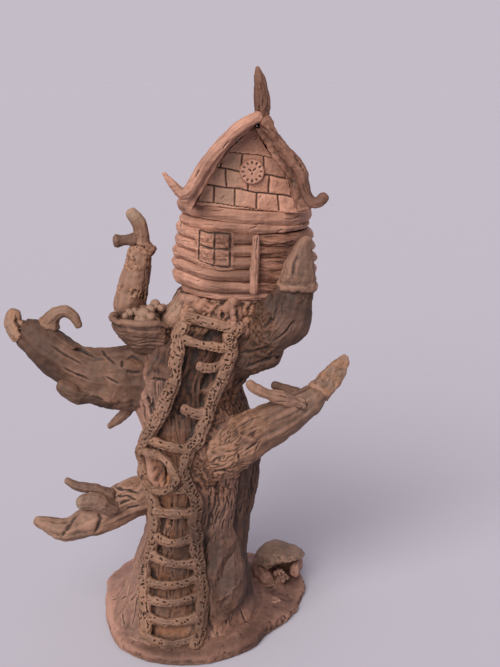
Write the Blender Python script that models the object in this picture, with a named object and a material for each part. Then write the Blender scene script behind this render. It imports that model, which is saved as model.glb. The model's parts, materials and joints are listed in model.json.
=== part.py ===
"""A clay tree house: a trunk on a slab, hand-like branches, a rope ladder, a nest, a burrow and a cottage.

Every piece of clay is its own solid, rolled, turned or cut from a sheet, and seated against the pieces that
were there before it. The tables hold millimetres and degrees, and every mesh is made in metres, +Z up. The
origin is on the underside of the slab, below the trunk. +X is the side of the hand that holds the cottage,
and -Y is the front, where the ladder climbs.
"""

import math

import bmesh
import bpy
from mathutils import Matrix, Vector

MM = 0.001

# Driving dimensions, in millimetres
SEAM_GAP = 0.3  # left between two pieces that are pressed together
MELT = 0.004  # points of a cut edge this close become one
MOST_SHELL_FACTOR = 2.5  # keeps the seam's width round a sharp edge without throwing its corner far out
SLAB_TOP = 8.0
TRUNK_TOP = 283.0
HOUSE_X = 36.0
HOUSE_Y = 0.0
HOUSE_HALF_WIDTH = 51.5
HOUSE_HALF_DEPTH = 47.0
FLOOR_BOTTOM = 283.3
FLOOR_THICK = 6.2
LOG_COUNT = 5
LOG_BOTTOM = 289.8
LOG_HEIGHT = 8.2
LOG_SEAM = 0.3
LOG_GROWTH = (4.0, 4.5, 3.5, 2.2, 1.2)  # how far each log stands out, from the lowest up
WALL_THICK = 8.0
APEX_X = 46.5
ROOF_THICK_LEFT = 6.0
ROOF_THICK_RIGHT = 8.5
ROOF_SAG = 6.0  # how much lower the ridge and eaves are at the rear
ROOF_FRONT = -55.0
ROOF_REAR = 50.0
GABLE_FRONT = -40.0
GABLE_REAR = 40.0
GABLE_THICK = 7.0
GABLE_BOW = 5.0
GABLE_STATIONS = 11
BAND_TOP = 349.3
BAND_SLOPE = 0.087
RAIL_RADIUS = 4.3
RUNG_RADIUS = 2.9
RING_ANGLE = -134.0
RING_HALF_ANGLE = 22.0
RING_HEIGHT = 144.5
RING_HALF_HEIGHT = 12.5
RING_COIL = 3.3
HOOD_LEAN = (-6.0, -7.0)  # degrees about X and Y: the hood tips up to the right and over its mouth
SNAIL_CENTRE = (60.0, 4.0, 10.4)
SNAIL_RADIUS = 5.2
SNAIL_TURNS = 1.6
SNAIL_POINTS = 11
RING_POINTS = 10
RUNG_POINTS = 6

# Colours of the clay, each with its roughness
CLAY = {
    "base": ((0.50, 0.31, 0.22), 0.88),
    "trunk": ((0.43, 0.27, 0.18), 0.9),
    "branch": ((0.41, 0.27, 0.17), 0.9),
    "ladder": ((0.52, 0.35, 0.22), 0.88),
    "house": ((0.52, 0.33, 0.22), 0.85),
}

# Height, centre x, centre y, half width and half depth of the trunk
TRUNK_SECTIONS = (
    (8.3, -13, 6, 65, 71),
    (14, -13, 3, 60, 63),
    (25, -12, 0, 55, 56),
    (40, -11, -1, 50, 50),
    (60, -9, -1, 45, 46),
    (90, -3, 0, 42, 43),
    (125, 2, 0, 43, 42),
    (160, 1, 0, 45, 43),
    (185, -6, 0, 43, 42),
    (205, -9, 0, 41, 41),
    (225, -5, 0, 43, 42),
    (245, 5, 0, 45, 42),
    (265, 16, 0, 43, 41),
    (283, 29, 0, 45, 41),
)
# Direction and half width in degrees, then how far a bole stands out at the foot, the waist and the crown, as
# a share of the trunk's radius. A furrow has shares below zero.
TRUNK_BOLES = (
    (-138, 30, 0.03, 0.13, 0.04),
    (-42, 13, 0.00, -0.08, -0.02),
    (8, 22, 0.00, 0.12, 0.03),
    (62, 20, 0.03, -0.06, 0.00),
    (100, 26, 0.05, 0.08, 0.05),
    (152, 16, 0.00, -0.06, 0.00),
)
BOLE_FOOT, BOLE_WAIST, BOLE_CROWN = 30.0, 120.0, 230.0  # heights of those three shares
BOLE_TWIST = 14.0  # degrees that the boles swing to either side as they climb
BOLE_TWIST_LENGTH = 75.0

# Outer line of each side of the roof, from the ridge down to the eaves
ROOF_LEFT = (
    (46.5, 419), (36, 410.5), (27, 402.5), (18, 393.5), (10, 382.5), (3.5, 371), (-2.5, 360), (-6, 354),
)
ROOF_RIGHT = ((46.5, 419), (52, 409), (58, 399), (65, 390), (72, 381), (76, 372), (78.5, 363), (82, 352))
ROOF_LINE = (*reversed(ROOF_LEFT), *ROOF_RIGHT[1:])
RIM_THICK = 4.0  # the rim that closes the cottage between its uppermost log and the roof
ROOF_CLEARANCE = 8.0  # from the roof's outer line down to that rim

CLAY_BLOCK = "clay tree house"


def clay_material(name, tone):
    """Raw clay for one piece, in one of the tones of CLAY."""
    colour, roughness = CLAY[tone]
    material = bpy.data.materials.new(name + "_clay")
    material.use_nodes = True
    shader = material.node_tree.nodes["Principled BSDF"]
    shader.inputs["Base Color"].default_value = (*colour, 1.0)
    shader.inputs["Roughness"].default_value = roughness
    shader.inputs["Metallic"].default_value = 0.0
    material.diffuse_color = (*colour, 1.0)
    return material


def add_object(name, mesh, tone):
    """Puts a mesh in the scene as one piece of clay."""
    mesh.materials.clear()
    mesh.materials.append(clay_material(name, tone))
    mesh.shade_smooth()
    mesh.set_sharp_from_angle(angle=math.radians(50))
    piece = bpy.data.objects.new(name, mesh)
    bpy.context.scene.collection.objects.link(piece)
    piece.parent = bpy.data.objects[CLAY_BLOCK]
    return piece


def between(rows, at):
    """The row at a value of the first column, on a smooth curve through the rows."""
    last = len(rows) - 1
    i = max(0, min(last - 1, sum(row[0] <= at for row in rows) - 1))
    low, high = rows[i], rows[i + 1]
    span = high[0] - low[0]
    t = min(1.0, max(0.0, (at - low[0]) / span))
    before = rows[max(i - 1, 0)]
    after = rows[min(i + 2, last)]
    smooth = []
    for k in range(1, len(low)):
        slope_low = (high[k] - before[k]) / (high[0] - before[0]) * span
        slope_high = (after[k] - low[k]) / (after[0] - low[0]) * span
        smooth.append(
            (2 * t**3 - 3 * t**2 + 1) * low[k]
            + (t**3 - 2 * t**2 + t) * slope_low
            + (3 * t**2 - 2 * t**3) * high[k]
            + (t**3 - t**2) * slope_high
        )
    return smooth


def smooth_path(rows, steps):
    """A smooth curve through rows of (x, y, z, radius), with this many samples for each stretch."""
    keyed = [(0.0, *rows[0])]
    for row in rows[1:]:
        keyed.append((keyed[-1][0] + math.dist(row[:3], keyed[-1][1:4]), *row))
    samples = []
    for low, high in zip(keyed, keyed[1:]):
        for step in range(steps):
            samples.append(between(keyed, low[0] + (high[0] - low[0]) * step / steps))
    samples.append(list(rows[-1]))
    return samples


def bridge(bm, rings, closed=False):
    """Joins rings of vertices, each with as many as the next, with quads."""
    pairs = list(zip(rings, rings[1:]))
    if closed:
        pairs.append((rings[-1], rings[0]))
    for low, high in pairs:
        for k in range(len(low)):
            after = (k + 1) % len(low)
            bm.faces.new((low[k], low[after], high[after], high[k]))


def finish(bm, name, tone):
    """Turns a bmesh in millimetres into a piece in metres, with its faces pointing out."""
    bmesh.ops.recalc_face_normals(bm, faces=bm.faces)
    bmesh.ops.scale(bm, vec=(MM, MM, MM), verts=bm.verts)
    if bm.calc_volume(signed=True) < 0:
        bmesh.ops.reverse_faces(bm, faces=bm.faces)
    mesh = bpy.data.meshes.new(name)
    bm.to_mesh(mesh)
    bm.free()
    return add_object(name, mesh, tone)


def rolled(name, tone, rows, sides=8, steps=2, flat=1.0, closed=False):
    """A coil rolled by hand: a tube along rows of (x, y, z, radius), with round ends.

    flat is the section's thickness across, as a share of its width: below 1 it is squashed towards the front.
    """
    path = smooth_path([*rows, rows[0]] if closed else rows, steps)
    if closed:
        path = path[:-1]
    points = [Vector(row[:3]) for row in path]
    tangents = []
    for i, point in enumerate(points):
        if closed:
            ahead, behind = points[(i + 1) % len(points)], points[i - 1]
        else:
            ahead, behind = points[min(i + 1, len(points) - 1)], points[max(i - 1, 0)]
        tangents.append((ahead - behind).normalized())
    across = Vector((0, 1, 0)).cross(tangents[0])
    if across.length < 0.2:
        across = Vector((1, 0, 0)).cross(tangents[0])
    bm = bmesh.new()
    rings = []
    for i, (row, tangent) in enumerate(zip(path, tangents)):
        across = (across - tangent * across.dot(tangent)).normalized()
        through = tangent.cross(across)
        stations = [(0.0, 1.0)]
        if not closed and i == 0:
            stations = [(-0.45, 0.72), (0.0, 1.0)]
        elif not closed and i == len(path) - 1:
            stations = [(0.0, 1.0), (0.45, 0.72)]
        for along, size in stations:
            centre = points[i] + tangent * (along * row[3])
            ring = []
            for k in range(sides):
                turn = 2 * math.pi * k / sides
                side = across * math.cos(turn) + through * (math.sin(turn) * flat)
                ring.append(bm.verts.new(centre + side * (row[3] * size)))
            rings.append(ring)
    bridge(bm, rings, closed)
    if not closed:
        for ring, end, direction in ((rings[0], 0, -1), (rings[-1], -1, 1)):
            pole = bm.verts.new(points[end] + tangents[end] * (direction * 0.62 * path[end][3]))
            for k in range(sides):
                bm.faces.new((ring[k], ring[(k + 1) % sides], pole))
    return finish(bm, name, tone)


def turned(name, tone, profile, centre, sides=16, depth=1.0, lean=(0.0, 0.0)):
    """A body turned about +Z from (radius, height) rows that start and end on the axis.

    depth squashes it along Y, and lean turns it about X and then about Y, in degrees.
    """
    bm = bmesh.new()
    rings = []
    for radius, height in profile[1:-1]:
        ring = []
        for k in range(sides):
            turn = 2 * math.pi * k / sides
            ring.append(bm.verts.new((radius * math.cos(turn), radius * math.sin(turn) * depth, height)))
        rings.append(ring)
    bridge(bm, rings)
    for ring, height in ((rings[0], profile[0][1]), (rings[-1], profile[-1][1])):
        pole = bm.verts.new((0, 0, height))
        for k in range(sides):
            bm.faces.new((ring[k], ring[(k + 1) % sides], pole))
    about_x, about_y = (math.radians(angle) for angle in lean)
    place = Matrix.Translation(centre) @ Matrix.Rotation(about_y, 4, "Y") @ Matrix.Rotation(about_x, 4, "X")
    bmesh.ops.transform(bm, matrix=place, verts=bm.verts)
    return finish(bm, name, tone)


def roof_height(x, y):
    """The height of the roof's outer line over a point, which sags towards the rear."""
    rear_share = (y - ROOF_FRONT) / (ROOF_REAR - ROOF_FRONT)
    return between(ROOF_LINE, x)[0] - ROOF_SAG * rear_share


def wall_ring(name, z_low, z_high, grow=0.0, slope=0.0, thick=WALL_THICK, upstand=0.0, segments=20):
    """One clay log bent round the cottage: an oval ring with a bulging outer face.

    slope is how far it drops for each millimetre towards +X. upstand is a rim on its inner side, which stops
    below the roof.
    """
    bulge = 1.6
    profile = [(-thick, z_low), (-bulge, z_low), (0.0, 0.5 * (z_low + z_high)), (-bulge, z_high)]
    if upstand:
        profile += [(RIM_THICK - thick + 1.0, z_high), (RIM_THICK - thick, z_high + upstand)]
    profile.append((-thick, z_high + upstand))
    bm = bmesh.new()
    rings = []
    for k in range(segments):
        turn = 2 * math.pi * k / segments
        ring = []
        for inset, height in profile:
            x = (HOUSE_HALF_WIDTH + grow + inset) * math.cos(turn)
            y = (HOUSE_HALF_DEPTH + grow + inset) * math.sin(turn)
            if height > z_high:
                under_roof = roof_height(HOUSE_X + x, y) - ROOF_CLEARANCE
                height = max(z_high + 1.0, min(height, under_roof + slope * x))
            ring.append(bm.verts.new((HOUSE_X + x, HOUSE_Y + y, height - slope * x)))
        rings.append(ring)
    bridge(bm, rings, closed=True)
    return finish(bm, name, "house")


def strip(name, tone, stations):
    """A bar lofted through four-cornered sections, with flat ends."""
    bm = bmesh.new()
    rings = [[bm.verts.new(corner) for corner in section] for section in stations]
    bridge(bm, rings)
    bm.faces.new(rings[0])
    bm.faces.new(rings[-1])
    return finish(bm, name, tone)


def cluster(name, tone, balls, squash=0.85):
    """Small pellets pressed together into one body: balls of (x, y, z, radius) that overlap."""
    whole = None
    for x, y, z, radius in balls:
        bm = bmesh.new()
        bmesh.ops.create_icosphere(bm, subdivisions=2, radius=radius)
        bmesh.ops.scale(bm, vec=(1, 1, squash), verts=bm.verts)
        bmesh.ops.translate(bm, vec=(x, y, z), verts=bm.verts)
        if whole is None:
            whole = finish(bm, name, tone)
            continue
        ball = finish(bm, name + "_pellet", tone)
        cut_or_join(whole, ball, "UNION")
        remove(ball)
    return whole


def remove(piece):
    mesh = piece.data
    bpy.data.objects.remove(piece)
    bpy.data.meshes.remove(mesh)


def cut_or_join(piece, other, operation):
    """Applies one exact Boolean to the piece's mesh."""
    modifier = piece.modifiers.new("seat", "BOOLEAN")
    modifier.operation = operation
    modifier.solver = "EXACT"
    modifier.use_self = True
    modifier.object = other
    bpy.context.view_layer.update()
    graph = bpy.context.evaluated_depsgraph_get()
    result = bpy.data.meshes.new_from_object(piece.evaluated_get(graph))
    piece.modifiers.remove(modifier)
    old = piece.data
    piece.data = result
    result.name = old.name
    bpy.data.meshes.remove(old)


def bodies_of(bm):
    """The separate bodies of a bmesh, each as a list of faces."""
    left = set(bm.faces)
    bodies = []
    while left:
        body = [left.pop()]
        for face in body:
            for edge in face.edges:
                for neighbour in edge.link_faces:
                    if neighbour in left:
                        left.remove(neighbour)
                        body.append(neighbour)
        bodies.append(body)
    return bodies


def signed_volume(faces):
    total = 0.0
    for face in faces:
        first, *others = [loop.vert.co for loop in face.loops]
        for second, third in zip(others, others[1:]):
            total += first.dot(second.cross(third)) / 6
    return total


def keep_largest(piece):
    """Drops the crumbs that a cut leaves loose, and melts the slivers along its edge."""
    bm = bmesh.new()
    bm.from_mesh(piece.data)
    bmesh.ops.remove_doubles(bm, verts=bm.verts, dist=MELT * MM)
    bodies = sorted(bodies_of(bm), key=signed_volume)
    crumbs = [face for body in bodies[:-1] for face in body]
    bmesh.ops.delete(bm, geom=crumbs, context="FACES")
    bm.to_mesh(piece.data)
    bm.free()


def reach(piece):
    """The piece's lowest and highest corners."""
    corners = [vertex.co for vertex in piece.data.vertices]
    low = [min(corner[k] for corner in corners) for k in range(3)]
    high = [max(corner[k] for corner in corners) for k in range(3)]
    return low, high


def near(first, second):
    """Whether two pieces' boxes come within a seam of each other."""
    margin = 2 * SEAM_GAP * MM
    (low_a, high_a), (low_b, high_b) = reach(first), reach(second)
    return all(low_a[k] < high_b[k] + margin and low_b[k] < high_a[k] + margin for k in range(3))


def grown(piece):
    """A guide: the piece with its surface moved out by the seam's gap."""
    guide = bpy.data.objects.new(piece.name + "_guide", piece.data.copy())
    bm = bmesh.new()
    bm.from_mesh(guide.data)
    bm.normal_update()
    moves = [vertex.normal * min(vertex.calc_shell_factor(), MOST_SHELL_FACTOR) for vertex in bm.verts]
    for vertex, move in zip(bm.verts, moves):
        vertex.co += move * (SEAM_GAP * MM)
    bm.to_mesh(guide.data)
    bm.free()
    bpy.context.scene.collection.objects.link(guide)
    guide.hide_render = True
    guide.display_type = "WIRE"
    return guide


PLACED = []


def seat(piece):
    """Presses a new piece onto those already placed: what would lie inside them or in the seam is cut away."""
    for other in PLACED:
        if near(piece, other):
            guide = grown(other)
            cut_or_join(piece, guide, "DIFFERENCE")
            remove(guide)
    keep_largest(piece)
    PLACED.append(piece)
    return piece


# ---------------------------------------------------------------- trunk and slab


def trunk_radius_factor(angle, height):
    """How far the boles and furrows move the trunk's side at this angle in degrees and this height."""
    factor = 1.0
    for direction, width, foot, waist, crown in TRUNK_BOLES:
        stages = ((0.0, foot), (BOLE_FOOT, foot), (BOLE_WAIST, waist), (BOLE_CROWN, crown), (TRUNK_TOP, crown))
        share = between(stages, height)[0]
        twisted = direction + BOLE_TWIST * math.sin(height / BOLE_TWIST_LENGTH)
        away = (angle - twisted + 180) % 360 - 180
        factor += share * math.exp(-((away / width) ** 2))
    return factor


def trunk_point(angle, height, lift=0.0):
    """The point on the trunk's side at an angle in degrees from +X, lifted off it."""
    x, y, half_width, half_depth = between(TRUNK_SECTIONS, height)
    turn = math.radians(angle)
    factor = trunk_radius_factor(angle, height)
    outward = Vector((math.cos(turn), math.sin(turn), 0))
    side = Vector((x + half_width * factor * outward.x, y + half_depth * factor * outward.y, height))
    return side + outward * lift


def make_trunk(sides=24):
    heights = []
    for low, high in zip(TRUNK_SECTIONS, TRUNK_SECTIONS[1:]):
        heights.append(low[0])
        if high[0] - low[0] > 22:
            heights.append((low[0] + high[0]) / 2)
    heights.append(TRUNK_TOP)
    bm = bmesh.new()
    rings = [[bm.verts.new(trunk_point(360 * k / sides, height)) for k in range(sides)] for height in heights]
    bridge(bm, rings)
    bm.faces.new(rings[0])
    bm.faces.new(rings[-1])
    return finish(bm, "trunk", "trunk")


def make_slab():
    """The slab that the tree stands on: a hand-cut sheet with a worn edge and one chipped corner."""
    outline = (
        (-94, 74), (-88, 42), (-84, 8), (-75, -30), (-62, -53), (-40, -69), (-14, -74), (10, -71),
        (33, -59), (47, -46), (53, -33), (73, -10), (85, 20), (89, 48), (80, 78), (56, 98),
        (20, 107), (-28, 106), (-66, 96),
    )
    loop = smooth_path([(x, y, 0, 0) for x, y in (*outline, outline[0])], 2)[:-1]
    centre = Vector((-2, 16, 0))
    bm = bmesh.new()
    rings = []
    for height, size in ((0.0, 0.985), (2.0, 1.0), (5.5, 0.995), (SLAB_TOP, 0.965)):
        ring = []
        for row in loop:
            point = centre + (Vector(row[:3]) - centre) * size
            ring.append(bm.verts.new((point.x, point.y, height)))
        rings.append(ring)
    bridge(bm, rings)
    bm.faces.new(rings[0])
    bm.faces.new(rings[-1])
    return finish(bm, "base_slab", "base")


# ---------------------------------------------------------------- branches


# Name, sides of the section, thickness as a share of the width, then rows of (x, y, z, radius)
BRANCHES = (
    ("left_arm", 12, 0.85, (
        (-8, -4, 222, 22), (-30, -10, 218, 24), (-48, -12, 216, 25), (-68, -14, 215, 25),
        (-88, -14, 220, 20), (-107, -12, 231, 17.5), (-121, -10, 243, 16.5), (-132, -9, 251, 12.5),
    )),
    ("left_arm_tip", 10, 1.0, (
        (-128, -9, 249, 9), (-138, -10, 252, 9), (-142.5, -10, 259, 7.2), (-141, -9, 265.5, 6),
    )),
    ("left_arm_hook", 8, 0.9, (
        (-116, -10, 240, 8.5), (-115, -10, 250, 8), (-114, -10, 259, 7), (-109, -10, 265.5, 6),
        (-101, -10, 267, 5), (-95, -10, 262.5, 4.3), (-92, -10, 256, 3.6),
    )),
    ("left_arm_spur", 8, 0.9, (
        (-66, -26, 199, 8), (-78, -28, 200, 7.5), (-90, -28, 203, 6.5), (-98, -29, 208.5, 5.5),
        (-104, -30, 214, 4),
    )),
    ("broken_twig", 8, 1.0, (
        (-40, -6, 197, 8), (-54, -4, 192, 6.4), (-59, -3, 183, 5), (-66, -2, 176, 4), (-73, -1, 170, 2.6),
    )),
    ("nest_arm", 11, 0.95, (
        (-8, 10, 238, 17), (-32, 10, 244, 16), (-50, 8, 256, 14), (-54, 6, 270, 13),
        (-50.5, 5, 285, 12), (-46.5, 4, 301, 10.5), (-44, 3, 314, 8.5),
    )),
    ("nest_arm_finger", 8, 0.9, (
        (-44, 3, 315, 6.0), (-42.5, 2, 325, 5.8), (-44.5, 1, 334, 5.2), (-50, 0, 341.5, 3.6),
    )),
    ("nest_arm_twig", 10, 1.0, ((-47, 2, 321.5, 4.4), (-54, 1, 321, 4), (-61.5, 0, 320, 4.8))),
    ("nest_arm_stub", 8, 1.0, ((-40, 2, 316, 4.6), (-35, 1, 312.5, 4.6))),
    ("lower_left_branch", 10, 0.95, (
        (-14, -5, 122, 17), (-36, -10, 119, 16.5), (-55, -17, 115, 16), (-73, -22, 106.5, 15),
        (-90, -24, 97, 12.5), (-107, -25, 91.5, 10), (-120, -25, 95.5, 7), (-130, -25, 99, 4),
    )),
    ("lower_left_knot", 10, 1.0, (
        (-68, -34, 112, 6), (-75, -37, 118, 8), (-84, -37, 121, 8.5), (-92, -34, 117, 7),
    )),
    ("lower_left_twig", 8, 1.0, (
        (-72, -27, 121, 6), (-82, -28, 128, 4.8), (-94, -28, 130, 4), (-104, -28, 135, 2.8),
    )),
    ("right_branch", 10, 0.95, (
        (2, -22, 150, 14), (18, -32, 157, 17), (30, -32, 167, 19), (45, -28, 176, 18.5),
        (63, -24, 184, 16), (79, -20, 192.5, 13.5), (91, -18, 201.5, 10.5),
    )),
    ("right_branch_blade", 10, 0.5, (
        (86, -18, 197, 8), (95, -17, 206, 10), (103, -15, 216, 9), (109, -14, 224, 7), (114, -12, 231, 3),
    )),
    ("right_finger_front", 8, 1.0, (
        (80, -29, 199, 5.5), (71, -31, 203, 5.2), (62, -33, 206, 4.8), (51, -34, 209.5, 4.4),
        (44, -34, 213.5, 3.8), (39.5, -34, 217, 2.8),
    )),
    ("right_finger_rear", 8, 1.0, (
        (86, -8, 196, 5), (77, -6, 199.5, 4.4), (68, -5, 203, 3.9), (59, -5, 206.5, 3.1),
    )),
    ("house_hand", 12, 0.85, (
        (20, -14, 232, 17), (35, -20, 234, 15.5), (46, -26, 241, 15.5), (54, -32, 252, 17.5),
        (62, -36, 265, 20), (69, -38, 279, 18.5), (74, -41, 294, 14),
    )),
    ("house_thumb", 10, 0.55, (
        (74, -46, 296, 12.8), (74.8, -49, 304, 12.6), (75.8, -50, 313, 10.6), (78, -49, 322, 7.4),
        (81, -48, 329.5, 3.6),
    )),
)


def make_branches():
    for name, sides, flat, rows in BRANCHES:
        seat(rolled(name, "branch", rows, sides=sides, flat=flat))


def make_nest():
    bowl = [
        (0, -31), (9, -29), (19, -19), (25, -8), (27, 0), (25, 2), (21, -2), (12, -8), (0, -9),
    ]
    seat(turned("nest_bowl", "branch", bowl, (-39, -23, 266), depth=0.92))
    eggs = [
        (-39, -23, 262, 11), (-47, -26, 267, 7), (-37, -33, 267, 6.5), (-31, -22, 271, 7),
    ]
    seat(cluster("nest_eggs", "branch", eggs))


# ---------------------------------------------------------------- foot of the tree


def make_foot():
    toe = [(24, -27, 82, 10), (24, -33, 68, 14), (23, -39, 53, 16), (20, -43, 41, 14), (17, -46, 32, 9)]
    seat(rolled("root_toe", "trunk", toe, sides=10, flat=0.8))
    mound = [
        (55, 34, 14, 7), (50, 46, 16, 9), (54, 60, 18, 10), (66, 68, 19, 10.5), (78, 62, 19, 10),
        (83, 50, 20, 8), (80, 38, 20, 6),
    ]
    seat(rolled("burrow_mound", "base", mound))
    lid = [(0, -3), (12, -4), (20, -6), (23, -2), (20, 4), (12, 8), (0, 9.5)]
    seat(turned("burrow_hood", "base", lid, (66, 49, 34), sides=14, depth=0.95, lean=HOOD_LEAN))
    pellets = [
        (64, 36, 13, 6), (58.5, 34, 13, 4), (67, 32, 16, 4.4), (63.5, 34, 20, 4),
    ]
    seat(cluster("burrow_pellets", "base", pellets))
    spiral = []
    for k in range(SNAIL_POINTS):
        share = k / (SNAIL_POINTS - 1)
        turn = 2 * math.pi * SNAIL_TURNS * share
        radius = SNAIL_RADIUS * (1 - 0.7 * share)
        x, y, z = SNAIL_CENTRE
        spiral.append((x + radius * math.cos(turn), y + radius * math.sin(turn), z + share, 1.7 - 0.5 * share))
    seat(rolled("snail_curl", "base", spiral, sides=6, steps=1))


# ---------------------------------------------------------------- rope ladder


# Heights and directions in degrees of the two rails on the trunk, from the top down
LEFT_RAIL = (
    (263, -121), (255, -120), (244, -112), (236, -109), (222, -104), (210, -106), (198, -113),
    (185, -124), (174, -137), (165, -147), (152, -158), (142, -158), (131, -148), (117, -138),
    (103, -134), (93, -133),
    (80, -134), (69, -137), (58, -134), (46, -130), (36, -126), (27, -123), (19, -120),
)
RIGHT_RAIL = (
    (263, -67), (256, -72), (244, -62), (232, -58), (221, -56), (208, -61), (194, -69),
    (182, -79), (175, -86), (169, -96), (163, -99), (150, -105), (138, -100), (129, -95),
    (121, -93), (109, -94), (99, -90), (88, -88),
    (75, -82), (62, -78), (50, -74), (39, -75), (27, -76), (18, -77), (12, -81),
)
# Heights of each rung on the left rail and on the right one, its sag, where it starts and ends between them,
# and its thickness as a share of RUNG_RADIUS
RUNGS = (
    (270, 262, 0, -0.05, 1.0, 1.25),
    (255, 246, 1, 0.0, 1.0, 1.0),
    (232, 236, 3, 0.45, 1.0, 1.0),
    (203, 196, 2, 0.45, 1.0, 1.2),
    (172, 168, -1, 0.0, 1.0, 1.0),
    (132, 136, 1, 0.0, 1.0, 0.9),
    (112, 116, -1, 0.0, 1.0, 1.25),
    (93, 97, 5, 0.0, 1.0, 1.0),
    (77, 74, 2, 0.0, 1.0, 1.1),
    (55, 62, 3, 0.0, 1.0, 1.0),
    (42, 48, 3, 0.0, 1.0, 1.0),
    (29, 33, 4, 0.0, 1.0, 1.0),
    (15, 17, 4, 0.0, 1.0, 1.1),
)


def rail_angle(rail, height):
    """The direction of a rail, in degrees, at a height."""
    return between(sorted(rail), height)[0]


def make_ladder():
    for name, rail in (("ladder_rail_left", LEFT_RAIL), ("ladder_rail_right", RIGHT_RAIL)):
        rows = []
        for height, angle in rail:
            rows.append((*trunk_point(angle, height, 0.55 * RAIL_RADIUS), RAIL_RADIUS))
        seat(rolled(name, "ladder", rows, sides=7, steps=1))
    ring = []
    for k in range(RING_POINTS):
        turn = 2 * math.pi * k / RING_POINTS
        angle = RING_ANGLE + RING_HALF_ANGLE * math.cos(turn)
        height = RING_HEIGHT + RING_HALF_HEIGHT * math.sin(turn)
        ring.append((*trunk_point(angle, height, 0.45 * RING_COIL), RING_COIL))
    seat(rolled("ladder_ring", "ladder", ring, sides=6, steps=2, closed=True))
    for number, (left, right, sag, start, end, size) in enumerate(RUNGS, 1):
        rows = []
        left_angle, right_angle = rail_angle(LEFT_RAIL, left), rail_angle(RIGHT_RAIL, right)
        for k in range(RUNG_POINTS):
            along = k / (RUNG_POINTS - 1)
            share = start + (end - start) * along
            angle = left_angle + (right_angle - left_angle) * share
            height = left + (right - left) * share - sag * math.sin(math.pi * along)
            radius = RUNG_RADIUS * size
            rows.append((*trunk_point(angle, height, 0.5 * radius), radius))
        seat(rolled(f"ladder_rung_{number:02d}", "ladder", rows, sides=7, steps=1))


# ---------------------------------------------------------------- cottage


def roof_slab(name, line, thickness):
    """One side of the roof: a bent sheet from gable to gable."""
    outer = smooth_path([(x, 0, z, 0) for x, z in line], 2)
    stations = []
    for i, row in enumerate(outer):
        ahead, behind = outer[min(i + 1, len(outer) - 1)], outer[max(i - 1, 0)]
        along = Vector((ahead[0] - behind[0], 0, ahead[2] - behind[2])).normalized()
        inward = Vector((-along.z, 0, along.x)) if along.x > 0 else Vector((along.z, 0, -along.x))
        if inward.z > 0:
            inward = -inward
        top = Vector((row[0], 0, row[2]))
        bottom = top + inward * thickness
        if i == 0:
            bottom = Vector((row[0], 0, row[2] - thickness * 1.5))
        front, rear = Vector((0, ROOF_FRONT, 0)), Vector((0, ROOF_REAR, -ROOF_SAG))
        stations.append((top + front, bottom + front, bottom + rear, top + rear))
    return strip(name, "house", stations)


def gable(name, face, thickness, sag):
    """An end wall: a sheet that follows the roof's line and bows with the round wall below it."""
    stations = []
    low_x, high_x = ROOF_LINE[0][0] + 1, ROOF_LINE[-1][0] - 2
    for k in range(GABLE_STATIONS):
        x = low_x + (high_x - low_x) * k / (GABLE_STATIONS - 1)
        top = between(ROOF_LINE, x)[0] - 0.5 * ROOF_THICK_LEFT - sag
        bottom = BAND_TOP + SEAM_GAP - BAND_SLOPE * (x - HOUSE_X)
        bow = GABLE_BOW * (1 - math.cos(math.pi * (x - HOUSE_X) / (high_x - low_x)))
        y = face + math.copysign(bow, -face)
        inner = y + math.copysign(thickness, -face)
        stations.append((
            Vector((x, y, bottom)), Vector((x, y, top)), Vector((x, inner, top)), Vector((x, inner, bottom)),
        ))
    return strip(name, "house", stations)


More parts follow.
